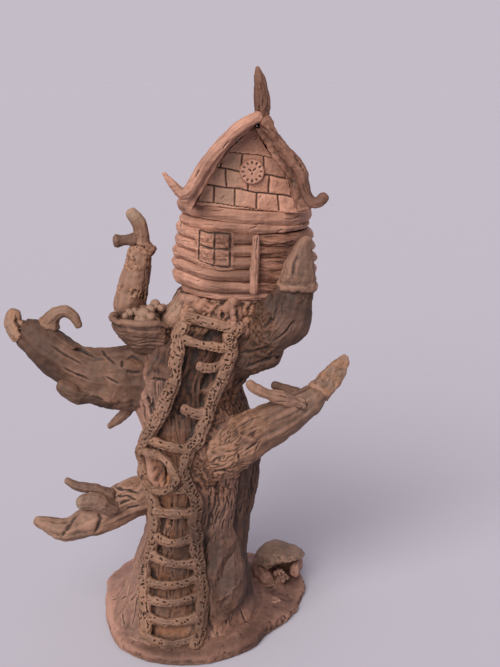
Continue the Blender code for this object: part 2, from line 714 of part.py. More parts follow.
def make_house():
    floor = [
        (0, 0), (HOUSE_HALF_WIDTH - 3.5, 0), (HOUSE_HALF_WIDTH - 2.5, 0.5 * FLOOR_THICK),
        (HOUSE_HALF_WIDTH - 3.5, FLOOR_THICK), (0, FLOOR_THICK),
    ]
    seat(turned("house_floor", "house", floor, (HOUSE_X, HOUSE_Y, FLOOR_BOTTOM), sides=22,
                depth=HOUSE_HALF_DEPTH / HOUSE_HALF_WIDTH))
    for number in range(LOG_COUNT):
        low = LOG_BOTTOM + number * (LOG_HEIGHT + LOG_SEAM)
        seat(wall_ring(f"wall_log_{number + 1}", low, low + LOG_HEIGHT, grow=LOG_GROWTH[number]))
    seat(roof_slab("roof_slab_left", ROOF_LEFT, ROOF_THICK_LEFT))
    seat(roof_slab("roof_slab_right", ROOF_RIGHT, ROOF_THICK_RIGHT))
    seat(gable("gable_front", GABLE_FRONT, GABLE_THICK, 0.0))
    seat(gable("gable_rear", GABLE_REAR, GABLE_THICK, ROOF_SAG * 0.8))
    upper = ("eaves_band_upper", 339.8, BAND_TOP)
    seat(wall_ring(*upper, grow=-0.5, slope=BAND_SLOPE, thick=12.5, upstand=16.0))
    seat(wall_ring("eaves_band_lower", 332.6, 340.2, grow=-1.5, slope=0.04))
    clock = [(0, 0), (8.6, 0), (9.0, 2), (8.2, 4.2), (0, 4.8)]
    seat(turned("clock_disc", "house", clock, (41.5, GABLE_FRONT - 0.2, 376.5), sides=18, lean=(90, 0)))
    post = [(44.5, -49.5, 331, 2.9), (43.5, -51.5, 312, 3.1), (42.5, -52.5, 291.5, 3.1)]
    seat(rolled("door_post", "house", post, sides=8))
    roll_left = [
        (46, -58, 415, 4.2), (37.5, -58.3, 410.5, 4.3), (29, -58.5, 404.5, 4.3), (16, -59, 391.5, 4.5),
        (6, -58.5, 378, 4.6), (-1, -58, 366, 4.5), (-7, -57, 362.5, 4.2), (-13.5, -56.5, 369, 3.2),
        (-19.5, -56, 376.5, 1.6),
    ]
    seat(rolled("barge_roll_left", "house", roll_left))
    roll_right = [
        (50.5, -57, 412, 4), (54.5, -57, 404.5, 4), (60.5, -57, 395, 4), (67.5, -57, 387.5, 4),
        (74, -57, 379.5, 4.1), (77, -57, 371, 4.2), (78.8, -57, 363, 4.3), (83, -57, 357, 4.3),
        (88, -57, 357, 4.2), (91.5, -57, 361, 3.6),
    ]
    seat(rolled("barge_roll_right", "house", roll_right))
    finial = [
        (48.6, -51, 416, 5.2), (48.2, -51.4, 425, 5.7), (47.2, -52, 434, 5.1), (46, -52, 442, 3.4),
        (45.2, -52, 447, 1.4),
    ]
    seat(rolled("roof_finial", "house", finial, flat=0.85))


def main():
    for old in list(bpy.data.objects):
        bpy.data.objects.remove(old)
    bpy.context.scene.collection.objects.link(bpy.data.objects.new(CLAY_BLOCK, None))
    PLACED.append(make_trunk())
    seat(make_slab())
    make_house()
    make_branches()
    make_nest()
    make_foot()
    make_ladder()


main()
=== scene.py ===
"""The clay tree house as it looks: hand-rolled, scored and slipped raw clay.

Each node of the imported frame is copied, remeshed finely and then sculpted with arrays in millimetres:
folds, cracks, pricked holes, bricks, panes and lumps. Marks are kept with the points, and the clay shader
reads them.
Places are in the frame's own coordinates: x to the right, -y to the front and z up.
"""

import json
import math

import bmesh
import bpy
import numpy as np
from mathutils import Matrix, Vector
from mathutils.bvhtree import BVHTree


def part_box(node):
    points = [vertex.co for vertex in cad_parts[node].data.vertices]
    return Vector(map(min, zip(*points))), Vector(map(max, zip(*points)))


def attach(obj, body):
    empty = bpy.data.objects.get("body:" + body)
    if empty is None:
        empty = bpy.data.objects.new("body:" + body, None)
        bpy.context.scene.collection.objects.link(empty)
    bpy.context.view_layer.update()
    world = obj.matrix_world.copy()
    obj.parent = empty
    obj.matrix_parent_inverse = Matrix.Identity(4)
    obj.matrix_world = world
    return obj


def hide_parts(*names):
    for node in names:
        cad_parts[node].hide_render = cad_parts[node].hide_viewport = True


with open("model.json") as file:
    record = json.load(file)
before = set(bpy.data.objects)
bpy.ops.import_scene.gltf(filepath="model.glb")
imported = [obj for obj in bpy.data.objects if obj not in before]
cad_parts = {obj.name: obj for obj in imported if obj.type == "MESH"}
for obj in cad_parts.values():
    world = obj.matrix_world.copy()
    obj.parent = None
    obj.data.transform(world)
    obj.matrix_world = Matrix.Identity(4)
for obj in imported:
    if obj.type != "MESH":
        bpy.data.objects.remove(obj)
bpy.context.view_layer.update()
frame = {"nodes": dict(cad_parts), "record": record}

MM = 0.001
NODES = frame["nodes"]
SLOTS = {entry["node"]: entry["material_slot"] for entry in frame["record"]["subparts"]}


def box_of(node):
    """The lower and upper corner of a CAD node, in millimetres."""
    return [np.array(corner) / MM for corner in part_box(node)]


# ---------------------------------------------------------------- noise


_table = np.random.default_rng(7)
GRADIENTS = _table.normal(size=(256, 3))
GRADIENTS /= np.linalg.norm(GRADIENTS, axis=1)[:, None]


def noise(points, size, seed):
    """Gradient noise between about -1 and 1, with features of one size in millimetres."""
    p = points / size + seed * 17.37
    cell = np.floor(p).astype(np.int64)
    f = p - cell
    fade = f * f * f * (f * (f * 6 - 15) + 10)
    total = np.zeros(len(p))
    for i in (0, 1):
        for j in (0, 1):
            for k in (0, 1):
                x, y, z = cell[:, 0] + i, cell[:, 1] + j, cell[:, 2] + k
                h = (x * 374761393 + y * 668265263 + z * 1440662683 + seed * 97) & 0xFFFFFFFF
                h = ((h ^ (h >> 13)) * 1274126177) & 0xFFFFFFFF
                g = GRADIENTS[(h ^ (h >> 16)) & 255]
                dot = g[:, 0] * (f[:, 0] - i) + g[:, 1] * (f[:, 1] - j) + g[:, 2] * (f[:, 2] - k)
                weight = (
                    (fade[:, 0] if i else 1 - fade[:, 0])
                    * (fade[:, 1] if j else 1 - fade[:, 1])
                    * (fade[:, 2] if k else 1 - fade[:, 2])
                )
                total += weight * dot
    return total * 1.7


def fractal(points, size, seed, octaves=3):
    total, share = np.zeros(len(points)), 1.0
    for octave in range(octaves):
        total += share * noise(points, size / 2**octave, seed + octave * 11)
        share *= 0.5
    return total


def folds(points, size, seed, sharp=2.4, level=0.6):
    """Noise as broad ridges with sharp valleys between them. The level is what counts as 0."""
    return np.minimum(sharp * np.abs(noise(points, size, seed)), 1.0) - level


def ramp(value, low, high):
    """0 below low, 1 above high, and smooth between."""
    t = np.clip((value - low) / (high - low), 0, 1)
    return t * t * (3 - 2 * t)


# ---------------------------------------------------------------- sculpting


def nearest_on(path, points):
    """For each point: distance to a polyline, and how far along it the nearest place is."""
    path = np.asarray(path, float)
    best = np.full(len(points), 1e9)
    along = np.zeros(len(points))
    run = 0.0
    for a, b in zip(path, path[1:]):
        line = b - a
        length = np.linalg.norm(line)
        t = np.clip((points - a) @ line / max(length**2, 1e-9), 0, 1)
        d = np.linalg.norm(points - a - t[:, None] * line, axis=1)
        closer = d < best
        best[closer] = d[closer]
        along[closer] = run + t[closer] * length
        run += length
    return best, along


def read(items, name, width, kind):
    """One value of every vertex, edge or loop of a mesh, as rows of a given width."""
    values = np.empty(len(items) * width, kind)
    items.foreach_get(name, values)
    return values.reshape(-1, width)


class Sculpt:
    """A copy of one CAD node's surface, as arrays in millimetres, with marks for the shader."""

    def __init__(self, node, voxel, smooth=8, mesh=None):
        self.node = node
        source = bpy.data.objects.new("source", mesh or NODES[node].data.copy())
        bpy.context.scene.collection.objects.link(source)
        modifier = source.modifiers.new("voxels", "REMESH")
        modifier.mode = "VOXEL"
        modifier.voxel_size = voxel * MM
        bpy.context.view_layer.update()
        graph = bpy.context.evaluated_depsgraph_get()
        self.mesh = bpy.data.meshes.new_from_object(source.evaluated_get(graph))
        old = source.data
        bpy.data.objects.remove(source)
        bpy.data.meshes.remove(old)
        self.points = read(self.mesh.vertices, "co", 3, np.float32).astype(float) / MM
        self.faces = read(self.mesh.loops, "vertex_index", 1, np.int32).reshape(-1, 4)
        first, second = read(self.mesh.edges, "vertices", 2, np.int32).T
        self.ends = np.concatenate([first, second])
        self.others = np.concatenate([second, first])
        count = len(self.points)
        self.degree = np.bincount(self.ends, minlength=count)
        self.marks = {name: np.zeros(count) for name in ("crack_shade", "rough", "dust_and_light", "tone")}
        self.flow = self.points.copy()
        self.pending = None
        self.smooth(smooth)

    def around(self, values):
        """The mean of a value over each point's neighbours."""
        if values.ndim == 1:
            return np.bincount(self.ends, values[self.others], len(values)) / self.degree
        return np.stack([self.around(values[:, k]) for k in range(values.shape[1])], axis=1)

    def smooth(self, rounds):
        """Rounds off facets without shrinking: each round moves points in, then a little further out."""
        for _ in range(rounds):
            for share in (0.55, -0.57):
                self.points += share * (self.around(self.points) - self.points)

    def normals(self):
        a, b, c, d = (self.points[self.faces[:, k]] for k in range(4))
        cross = np.cross(c - a, d - b)
        total = np.zeros_like(self.points)
        for k in range(4):
            for axis in range(3):
                total[:, axis] += np.bincount(self.faces[:, k], cross[:, axis], len(self.points))
        return total / np.maximum(np.linalg.norm(total, axis=1), 1e-9)[:, None]

    x = property(lambda self: self.points[:, 0])
    y = property(lambda self: self.points[:, 1])
    z = property(lambda self: self.points[:, 2])

    def noise(self, size, seed):
        return noise(self.points, size, seed)

    def fractal(self, size, seed, octaves=3):
        return fractal(self.points, size, seed, octaves)

    def near(self, places, low, high):
        """1 close to any of the places and 0 beyond the higher distance."""
        distances = [np.linalg.norm(self.points - place, axis=1) for place in self.laid(places)]
        return 1 - ramp(np.min(distances, axis=0), low, high)

    def lift(self, amount):
        self.points[:, 2] += amount

    def push(self, amount):
        """Moves the points out along their normals, by one amount or by one for each point."""
        self.points += self.normals() * np.broadcast_to(amount, len(self.points))[:, None]

    def mark(self, name, value):
        self.marks[name] = np.maximum(self.marks[name], value)

    def tint(self, tone, darkest=-1):
        """Sets how dark or light the clay is, as its own tone and as painted light and shade: below 0 is
        darker, and 1 is the lightest.
        """
        self.marks["tone"] = np.clip(tone + np.zeros(len(self.points)), darkest, 1)

    def laid(self, path):
        """A path's points in space: a place given as x and z is on the frontmost surface near it."""
        return np.array([place if len(place) == 3 else self.front(*place) for place in path], float)

    def groove(self, path, width, depth, dark=1.0, seen=None, ends=0.2):
        """Marks a groove along a path, to be cut later. With a mask of points it is drawn from the front."""
        points, path = self.points, self.laid(path)
        if seen is not None:
            points = points * (1, 0, 1)
            path[:, 1] = 0.0
        reach = 2.5 * width
        inside = ((points > path.min(axis=0) - reach) & (points < path.max(axis=0) + reach)).all(axis=1)
        chosen = np.flatnonzero(inside if seen is None else inside & seen)
        if not len(chosen):
            return
        distance, along = nearest_on(path, points[chosen])
        length = np.linalg.norm(np.diff(path, axis=0), axis=1).sum()
        taper = np.clip(np.minimum(along, length - along) / (ends * length + 1e-6), 0.2, 1)
        cut = np.exp(-((distance / (width * taper)) ** 2)) * taper
        if self.pending is None:
            self.pending = np.zeros(len(self.points))
        self.pending[chosen] = np.minimum(self.pending[chosen], -depth * cut)
        # Painted shade along the groove
        self.marks["crack_shade"][chosen] = np.maximum(self.marks["crack_shade"][chosen], dark * cut)

    def lump(self, path, width, height):
        """Presses clay on along a polyline, or takes it away where the height is below 0."""
        distance = nearest_on(self.laid(path), self.points)[0]
        share = np.exp(-((distance / width) ** 2))
        self.push(height * share)
        return share

    def front(self, x, z):
        """The frontmost of the points near an x and z."""
        gap = np.hypot(self.points[:, 0] - x, self.points[:, 2] - z)
        near = np.flatnonzero(gap < gap.min() + 1.6)
        return self.points[near[self.points[near, 1].argmin()]]

    def follow(self, spine, stretch=5.0):
        self.flow, self.along = flow_along(self.points, spine, stretch)

    def walk(self, start, length, slant, normals, steps=6):
        """A path over the surface from one point, along the flow but turned by a slant."""
        near = np.flatnonzero((np.abs(self.points - self.points[start]) < length + 3).all(axis=1))
        local = self.points[near]
        path, at = [self.points[start]], start
        for _ in range(steps):
            ahead = self.along[at] + slant * np.cross(normals[at], self.along[at])
            goal = path[-1] + ahead / np.linalg.norm(ahead) * length / steps
            at = near[((local - goal) ** 2).sum(axis=1).argmin()]
            path.append(0.5 * self.points[at] + 0.5 * goal)
            slant += RANDOM.uniform(-0.12, 0.12)
        return path

    def cut_grooves(self):
        """Applies the grooves gathered so far, in one move."""
        if self.pending is not None:
            self.push(self.pending)
            self.pending = None

    def swell_near(self, nodes, reach, amount):
        """Smears the clay up against neighbours: points near them swell."""
        near = np.full(len(self.points), reach)
        for node in nodes:
            low, high = box_of(node)
            inside = ((self.points > low - reach) & (self.points < high + reach)).all(axis=1)
            tree = tree_of(node)
            for i in np.flatnonzero(inside):
                found = tree.find_nearest(self.points[i] * MM, near[i] * MM)
                if found[0] is not None:
                    near[i] = min(near[i], found[3] / MM)
        share = 1 - near / reach
        self.push(amount * share * share)
        return share

    def cavity(self, rounds=3):
        """How hollow the surface is at each point: above 0 in hollows and below 0 on ridges."""
        base = self.points.copy()
        for _ in range(rounds):
            base += 0.6 * (self.around(base) - base)
        return ((base - self.points) * self.normals()).sum(axis=1)

    def build(self):
        """Makes the piece, with its marks as attributes, and ties it to the frame."""
        self.cut_grooves()
        # The hollow mark, which the shader turns into painted shade in hollows and paler ridges
        fine = self.cavity(2)
        wide = self.cavity(12)
        self.marks["hollow"] = np.clip(0.5 + 1.3 * fine + 0.55 * wide, 0, 1)
        self.mesh.vertices.foreach_set("co", (self.points * MM).astype(np.float32).ravel())
        for mark, values in self.marks.items():
            layer = self.mesh.attributes.new(mark, "FLOAT", "POINT")
            layer.data.foreach_set("value", values.astype(np.float32))
        layer = self.mesh.attributes.new("flow", "FLOAT_VECTOR", "POINT")
        layer.data.foreach_set("vector", (self.flow * MM).astype(np.float32).ravel())
        self.mesh.materials.clear()
        self.mesh.materials.append(CLAYS[SLOTS[self.node]])
        self.mesh.update()
        self.mesh.shade_smooth()
        piece = bpy.data.objects.new(self.node + "_clay", self.mesh)
        bpy.context.scene.collection.objects.link(piece)
        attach(piece, "root")
        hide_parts(self.node)
        SLOTS[self.node]


_trees = {}


def tree_of(node):
    if node not in _trees:
        data = NODES[node].data
        corners = [vertex.co for vertex in data.vertices]
        _trees[node] = BVHTree.FromPolygons(corners, [polygon.vertices for polygon in data.polygons])
    return _trees[node]


def spine_of(points, count=10):
    """The centres of slices across a long body, from one end to the other."""
    centre = points.mean(axis=0)
    _, _, axes = np.linalg.svd(points[:: max(1, len(points) // 4000)] - centre, full_matrices=False)
    t = (points - centre) @ axes[0]
    edges = np.linspace(t.min(), t.max(), count + 1)
    slices = np.clip(np.digitize(t, edges) - 1, 0, count - 1)
    return np.array([points[slices == k].mean(axis=0) for k in range(count) if (slices == k).any()])


def flow_along(points, spine, stretch):
    """Coordinates that follow a spine, two across it and one along it, and the spine's direction there."""
    dense = []
    for a, b in zip(spine, spine[1:]):
        dense.extend(a + (b - a) * k / 6 for k in range(6))
    dense.append(spine[-1])
    dense = np.array(dense)
    for _ in range(6):
        dense[1:-1] = 0.25 * dense[:-2] + 0.5 * dense[1:-1] + 0.25 * dense[2:]
    run = np.concatenate([[0], np.linalg.norm(np.diff(dense, axis=0), axis=1).cumsum()])
    tangents = np.gradient(dense, axis=0)
    tangents /= np.linalg.norm(tangents, axis=1)[:, None]
    across = np.cross(tangents[0], (0.31, 0.9, 0.3))
    frames = []
    for tangent in tangents:
        across = across - tangent * (across @ tangent)
        across /= np.linalg.norm(across)
        frames.append((across, np.cross(tangent, across)))
    frames = np.array(frames)
    nearest = np.empty(len(points), int)
    for start in range(0, len(points), 20000):
        block = points[start : start + 20000]
        nearest[start : start + 20000] = ((block[:, None] - dense[None]) ** 2).sum(axis=2).argmin(axis=1)
    offset = points - dense[nearest]
    u = (offset * frames[nearest, 0]).sum(axis=1)
    v = (offset * frames[nearest, 1]).sum(axis=1)
    s = run[nearest] + (offset * tangents[nearest]).sum(axis=1)
    return np.stack([u, v, s / stretch], axis=1), tangents[nearest]


# ---------------------------------------------------------------- clay shader


# Colours: pale dust that also serves as painted light, the near-black painted shade of cracks, and the
# painted shade multiplied in where the tone is below 0
DUST_AND_LIGHT = (0.27, 0.21, 0.14)
CRACK_SHADE = (0.028, 0.014, 0.009)
SHADED = (0.32, 0.275, 0.24)


def clay(name, dark, light, warm, streak, grit):
    """Raw clay: two tones, ochre where torn, with grain and grit; painted shade in cracks and hollows, and
    paler ridges, partly from wear and partly as painted highlight.
    """
    material = bpy.data.materials.new(name)
    material.use_nodes = True
    tree = material.node_tree
    nodes, links = tree.nodes, tree.links
    shader = nodes["Principled BSDF"]
    shader.inputs["Specular IOR Level"].default_value = 0.42

    def added(kind, inputs, output, **settings):
        """Adds a node, sets or links its inputs, and returns one of its outputs."""
        node = nodes.new("ShaderNode" + kind)
        for setting, value in settings.items():
            setattr(node, setting, value)
        for which, value in inputs.items():
            if isinstance(value, bpy.types.NodeSocket):
                links.new(value, node.inputs[which])
            else:
                node.inputs[which].default_value = value
        return node.outputs[output]

    def attribute(which, output="Fac"):
        return added("Attribute", {}, output, attribute_name=which)

    def texture(vector, scale, detail=3.0, rough=0.55, distortion=0.0):
        inputs = {"Scale": scale, "Detail": detail, "Roughness": rough, "Distortion": distortion}
        return added("TexNoise", {**inputs, "Vector": vector}, "Fac")

    def mapped(value, low, high, to_low=0.0, to_high=1.0):
        inputs = {"From Min": low, "From Max": high, "To Min": to_low, "To Max": to_high}
        return added("MapRange", {**inputs, "Value": value}, "Result")

    def mixed(factor, first, second, blend="MIX"):
        """Mixes two colours. The first comes from another node or, like the second, is a tuple."""
        first, second = ((*side, 1.0) if isinstance(side, tuple) else side for side in (first, second))
        return added("Mix", {0: factor, 6: first, 7: second}, 2, data_type="RGBA", blend_type=blend)

    def combined(operation, first, second):
        return added("Math", {0: first, 1: second}, 0, operation=operation)

    def times(tone, factor):
        return tuple(min(1.0, factor * share) for share in tone)

    place = added("TexCoord", {}, "Object")
    flow = attribute("flow", "Vector")
    patches = texture(place, 38.0, detail=4.0)
    streaks = texture(flow, 420.0, detail=4.0, rough=0.6, distortion=0.3)
    grains = texture(place, 1500.0, detail=2.0)
    lumps = texture(place, 260.0, detail=3.0)

    colour = mixed(mapped(patches, 0.36, 0.64), dark, light)
    colour = mixed(mapped(texture(place, 14.0), 0.45, 0.7, 0.0, 0.35), colour, warm)
    colour = mixed(mapped(streaks, 0.35, 0.62, 0.28 * streak, 0.0), colour, times(dark, 0.45))
    colour = mixed(mapped(grains, 0.35, 0.7, 0.0, 0.16 * grit), colour, times(light, 1.45))
    # The tone mark holds the clay's own tone together with painted light and shade: above 0 mixes towards a
    # paler clay, below 0 multiplies by SHADED
    colour = mixed(mapped(attribute("tone"), 0.0, 1.0, 0.0, 0.6), colour, times(light, 1.15))
    torn = combined("MULTIPLY", attribute("rough"), mapped(lumps, 0.3, 0.65, 0.3, 0.85))
    colour = mixed(torn, colour, warm)
    # Pale dust, and painted light where the gable's left is paled
    colour = mixed(combined("MULTIPLY", attribute("dust_and_light"), 0.6), colour, DUST_AND_LIGHT)
    # Painted shade darkens hollows; ridges are made paler, partly as dusty wear and partly as painted
    # highlight
    hollow = attribute("hollow")
    colour = mixed(mapped(hollow, 0.5, 0.88, 0.0, 0.85), colour, times(dark, 0.25))
    colour = mixed(mapped(hollow, 0.47, 0.2, 0.0, 0.55), colour, times(light, 1.45))
    colour = mixed(mapped(attribute("tone"), 0.0, -1.0, 0.0, 1.0), colour, SHADED, "MULTIPLY")
    # Painted shade: grooves, pricked holes and openings are darkened towards near black
    colour = mixed(mapped(attribute("crack_shade"), 0.25, 0.8, 0.0, 0.92), colour, CRACK_SHADE)
    links.new(colour, shader.inputs["Base Color"])

    links.new(mapped(streaks, 0.3, 0.7, 0.62, 0.78), shader.inputs["Roughness"])

    height = combined("MULTIPLY", streaks, 0.9 * streak)
    height = combined("ADD", height, combined("MULTIPLY", lumps, 1.2))
    height = combined("ADD", height, combined("MULTIPLY", grains, 0.32 * grit))
    rough_height = combined("MULTIPLY", attribute("rough"), texture(place, 700.0, detail=3.0))
    height = combined("ADD", height, combined("MULTIPLY", rough_height, 1.1))
    bump = added("Bump", {"Strength": 0.7, "Distance": 1.1 * MM, "Height": height}, "Normal")
    links.new(bump, shader.inputs["Normal"])
    return material


CLAY_LOOKS = {
    # slot: dark, light and the ochre of its torn patches, then how streaky and how gritty it is
    "clay_base": ((0.175, 0.09, 0.064), (0.28, 0.15, 0.108), (0.24, 0.11, 0.06), 0.3, 0.25),
    "clay_trunk": ((0.12, 0.064, 0.045), (0.22, 0.117, 0.081), (0.26, 0.102, 0.04), 0.9, 0.5),
    "clay_branch": ((0.115, 0.061, 0.04), (0.21, 0.114, 0.076), (0.27, 0.122, 0.055), 1.0, 0.5),
    "clay_ladder": ((0.105, 0.055, 0.035), (0.2, 0.109, 0.07), (0.26, 0.122, 0.058), 0.3, 0.5),
    "clay_house": ((0.27, 0.138, 0.094), (0.41, 0.213, 0.145), (0.34, 0.14, 0.08), 0.6, 0.5),
}
CLAYS = {slot: clay(slot.replace("clay_", "") + "_clay", *look) for slot, look in CLAY_LOOKS.items()}

RANDOM = np.random.default_rng(21)


# ---------------------------------------------------------------- groups of pieces


def worn(sculpt, size, depth, seed, grain=0.5, grain_size=7.0):
    """The hand-made surface that every piece shares: soft lumps, and folds along its flow."""
    p = sculpt.points
    amount = depth * fractal(p, size, seed)
    amount += grain * folds(sculpt.flow, grain_size, seed + 3, 2.2)
    amount += 0.3 * grain * noise(sculpt.flow, 0.45 * grain_size, seed + 5)
    sculpt.push(amount)


def scored(sculpt, count, length, width, depth, dark=0.9, slant=0.0, where=None):
    """Scores drawn in the clay with a point: crisp lines along the flow, or at a slant to it."""
    normals = sculpt.normals()
    chances = np.arange(len(sculpt.points)) if where is None else np.flatnonzero(where > 0.5)
    if not len(chances):
        return
    for _ in range(count):
        start = RANDOM.choice(chances)
        turned = slant + RANDOM.uniform(-0.2, 0.2)
        path = sculpt.walk(start, length * RANDOM.uniform(0.5, 1.2), turned, normals)
        wide = width * RANDOM.uniform(0.8, 1.2)
        sculpt.groove(path, wide, depth * RANDOM.uniform(0.6, 1.2), dark * RANDOM.uniform(0.55, 1.1))
    sculpt.cut_grooves()


def pricked(sculpt, chances, count, spacing, radius, depth, random):
    """Holes pricked with a point, never nearer to each other than the spacing."""
    taken = np.empty((0, 3))
    for i in random.permutation(chances)[: 12 * count]:
        place = sculpt.points[i]
        if len(taken) >= count:
            break
        if not len(taken) or np.linalg.norm(taken - place, axis=1).min() > spacing:
            taken = np.vstack([taken, place])
    move = np.zeros(len(sculpt.points))
    for place in taken:
        slant = random.normal(size=3) * 0.9 * radius
        near = np.flatnonzero((np.abs(sculpt.points - place) < 3 * radius + 1).all(axis=1))
        distance = nearest_on([place - slant, place + slant], sculpt.points[near])[0]
        cut = np.exp(-((distance / radius) ** 3))
        move[near] = np.minimum(move[near], -depth * cut)
        # Painted shade in the hole
        sculpt.marks["crack_shade"][near] = np.maximum(sculpt.marks["crack_shade"][near], 0.8 * cut)
    sculpt.push(move)


def torn(sculpt, size, depth, seed, keep=0.35):
    """Patches where clay was torn or scraped: rough and ochre."""
    patch = ramp(sculpt.noise(size, seed), keep, keep + 0.25)
    sculpt.push(depth * patch * sculpt.fractal(3.2, seed + 2))
    sculpt.mark("rough", 0.8 * patch)


# Long scores on single pieces, drawn from the front: x and z along each
FRONT_SCORES = {
    "left_arm": (
        ((-112, 245), (-98, 236), (-85, 229)), ((-97, 241), (-87, 238), (-77, 233)),
        ((-75, 239), (-61, 231)), ((-103, 229), (-92, 223), (-80, 219)), ((-70, 222), (-58, 217)),
    ),
    "lower_left_branch": (
        ((-69, 127), (-58, 127), (-46, 124)), ((-66, 122), (-57, 123), (-47, 119)),
        ((-63, 117), (-53, 121)), ((-58, 113), (-46, 115)),
    ),
    "right_branch": (((31, 166), (32, 160)), ((9, 149), (19, 152), (30, 147)), ((36, 168), (47, 175))),
    "house_hand": (((48, 262), (57, 272), (60, 284)), ((56, 254), (66, 262), (72, 272))),
}


BRANCHES = {
    # node: voxel, neighbours it is smeared against
    "left_arm": (0.72, ("trunk", "nest_bowl", "nest_arm")),
    "left_arm_tip": (0.7, ("left_arm",)),
    "left_arm_hook": (0.6, ("left_arm",)),
    "left_arm_spur": (0.7, ("left_arm", "trunk")),
    "broken_twig": (0.7, ("trunk",)),
    "nest_arm": (0.9, ("trunk", "left_arm")),
    "nest_arm_finger": (0.55, ("nest_arm",)),
    "nest_arm_twig": (0.55, ("nest_arm_finger", "nest_arm")),
    "nest_arm_stub": (0.55, ("nest_arm", "nest_arm_finger")),
    "nest_bowl": (0.8, ("trunk", "left_arm", "nest_arm")),
    "lower_left_branch": (0.9, ("trunk",)),
    "lower_left_knot": (0.7, ("lower_left_branch",)),
    "lower_left_twig": (0.6, ("lower_left_branch",)),
    "right_branch": (0.8, ("trunk",)),
    "right_branch_blade": (0.7, ("right_branch",)),
    "right_finger_front": (0.55, ("right_branch",)),
    "right_finger_rear": (0.55, ("right_branch",)),
    "house_hand": (0.8, ("trunk", "house_floor", "wall_log_1")),
    "house_thumb": (0.8, ("house_hand",)),
}


def draw_scores(piece, node, width=0.7, depth=1.9):
    """Cuts the scores listed for a piece, where it faces the front."""
    seen = (piece.normals() @ np.array([0, -0.95, 0.3])) > 0.1
    for line in FRONT_SCORES.get(node, ()):
        piece.groove([(x, 0, z) for x, z in line], width, depth, 1.1, seen)
    piece.cut_grooves()


def shape_tip(piece):
    """The curled tip: a fold with painted shade down its inner side, and a torn face."""
    piece.groove(((-137, 265), (-134, 258), (-133, 250)), 2.0, 3.2, 0.8)
    piece.mark("rough", piece.near(((-138, 267), (-136, 260), (-134, 252)), 4, 7))


def shape_lower_branch(piece):
    """The low left branch: a swollen wrist between two folds with a little painted shade, and a flat end
    beyond it.
    """
    piece.lump(((-93, 108), (-89, 98)), 7.5, 3.2)
    piece.groove(((-99, 114), (-102, 104), (-107, 95), (-111, 88)), 1.7, 2.4, 0.2)
    piece.groove(((-80, 113), (-76, 105), (-78, 97), (-83, 91)), 1.7, 2.4, 0.2)


def shape_knot(piece):
    """The knot on it: a little slimmer, with a pale end."""
    low = box_of(piece.node)[0][0]
    piece.push(-1.1)
    piece.lift(1.5)
    piece.mark("dust_and_light", ramp(piece.x, low + 9, low + 4))


def shape_arm(piece):
    """The big left arm: a hollow across it, a bulge by the trunk and a small plug of redder clay."""
    piece.lump(((-82, 244), (-77, 231), (-73, 217)), 6.5, -2.2)
    piece.lump(((-60, 236), (-57, 224)), 9.0, 2.4)
    piece.mark("rough", 1.2 * piece.lump(((-50, 233), (-44, 231)), 3.4, 1.6))
    upper, lower = ((-55, 236), (-49, 238), (-42, 235)), ((-55, 229), (-48, 227), (-41, 227))
    for line in (upper, lower, ((-56, 236), (-57, 230))):
        piece.groove(line, 0.9, 2.0, 1.0)
    piece.mark("rough", 0.5 * piece.near(((-136, 262), (-130, 252)), 5, 12))


def shape_thumb(piece):
    """The thumb: an edge down its left side, and a rolled rim at its foot."""
    low = box_of(piece.node)[0][2]
    piece.lump(((77, 330), (70, 318), (66, 303)), 3.0, 1.4)
    piece.groove(((74, 322), (70, 312), (69, 302)), 1.4, 1.2, 0.45)
    piece.push(0.9 * ramp(piece.z, low + 7, low + 3) * (1 + piece.fractal(6.0, 917, 2)))


def shape_right_branch(piece):
    """A lip of wrapped clay, and gouges scraped towards the trunk."""
    piece.lump(((38, 193), (30, 186), (32, 181), (44, 176)), 2.2, 2.2)
    root = ramp(piece.x, 62, 30)
    scraped = root * ramp(piece.noise(13, 910), -0.7, 0.0)
    strokes = piece.flow @ np.array([[1, 0, 0], [0, 1, 0], [1.2, 0, 1]])
    fibres = folds(strokes, 3.2, 911)
    piece.push(scraped * (1.0 * fibres + 1.1 * piece.fractal(9.0, 912, 2)))
    scored(piece, 46, 12, 0.5, 0.9, 0.4, 0.5, scraped)
    piece.mark("rough", 0.7 * scraped)


def shape_hand(piece):
    """The fist under the cottage: a step in its outline, bark scratches and a crumbly seam."""
    piece.lump([(70, -40, 243), (74, -20, 249)], 6.0, -6.0)
    piece.lump([(82, -36, 268), (78, -44, 262)], 7, 2.5)
    piece.lump([(58, -38, 233), (60, -24, 236)], 6, 2.5)
    seam = piece.near(((46, -44, 262), (44, -40, 274), (48, -46, 250), (52, -46, 266)), 5, 13)
    piece.push(1.7 * seam * piece.fractal(5.5, 920))
    piece.mark("rough", seam)
    scratches = piece.flow @ np.array([[1, 0, 0], [0, 1, 0], [0, 1.5, 1]])
    smooth = ramp(piece.x, 74, 56)
    piece.push(0.45 * smooth * folds(scratches, 2.6, 921, 2.6, 0.7))
    scored(piece, 22, 11, 0.5, 0.7, 0.5, 0.5, smooth * ramp(-piece.y, 20, 30))
    upper, lower = ((30, 242), (42, 244), (56, 250)), ((34, 228), (46, 232), (58, 240))
    for line in (upper, lower, ((60, 240), (66, 236))):
        piece.groove(line, 1.6, 3.0, 0.95)


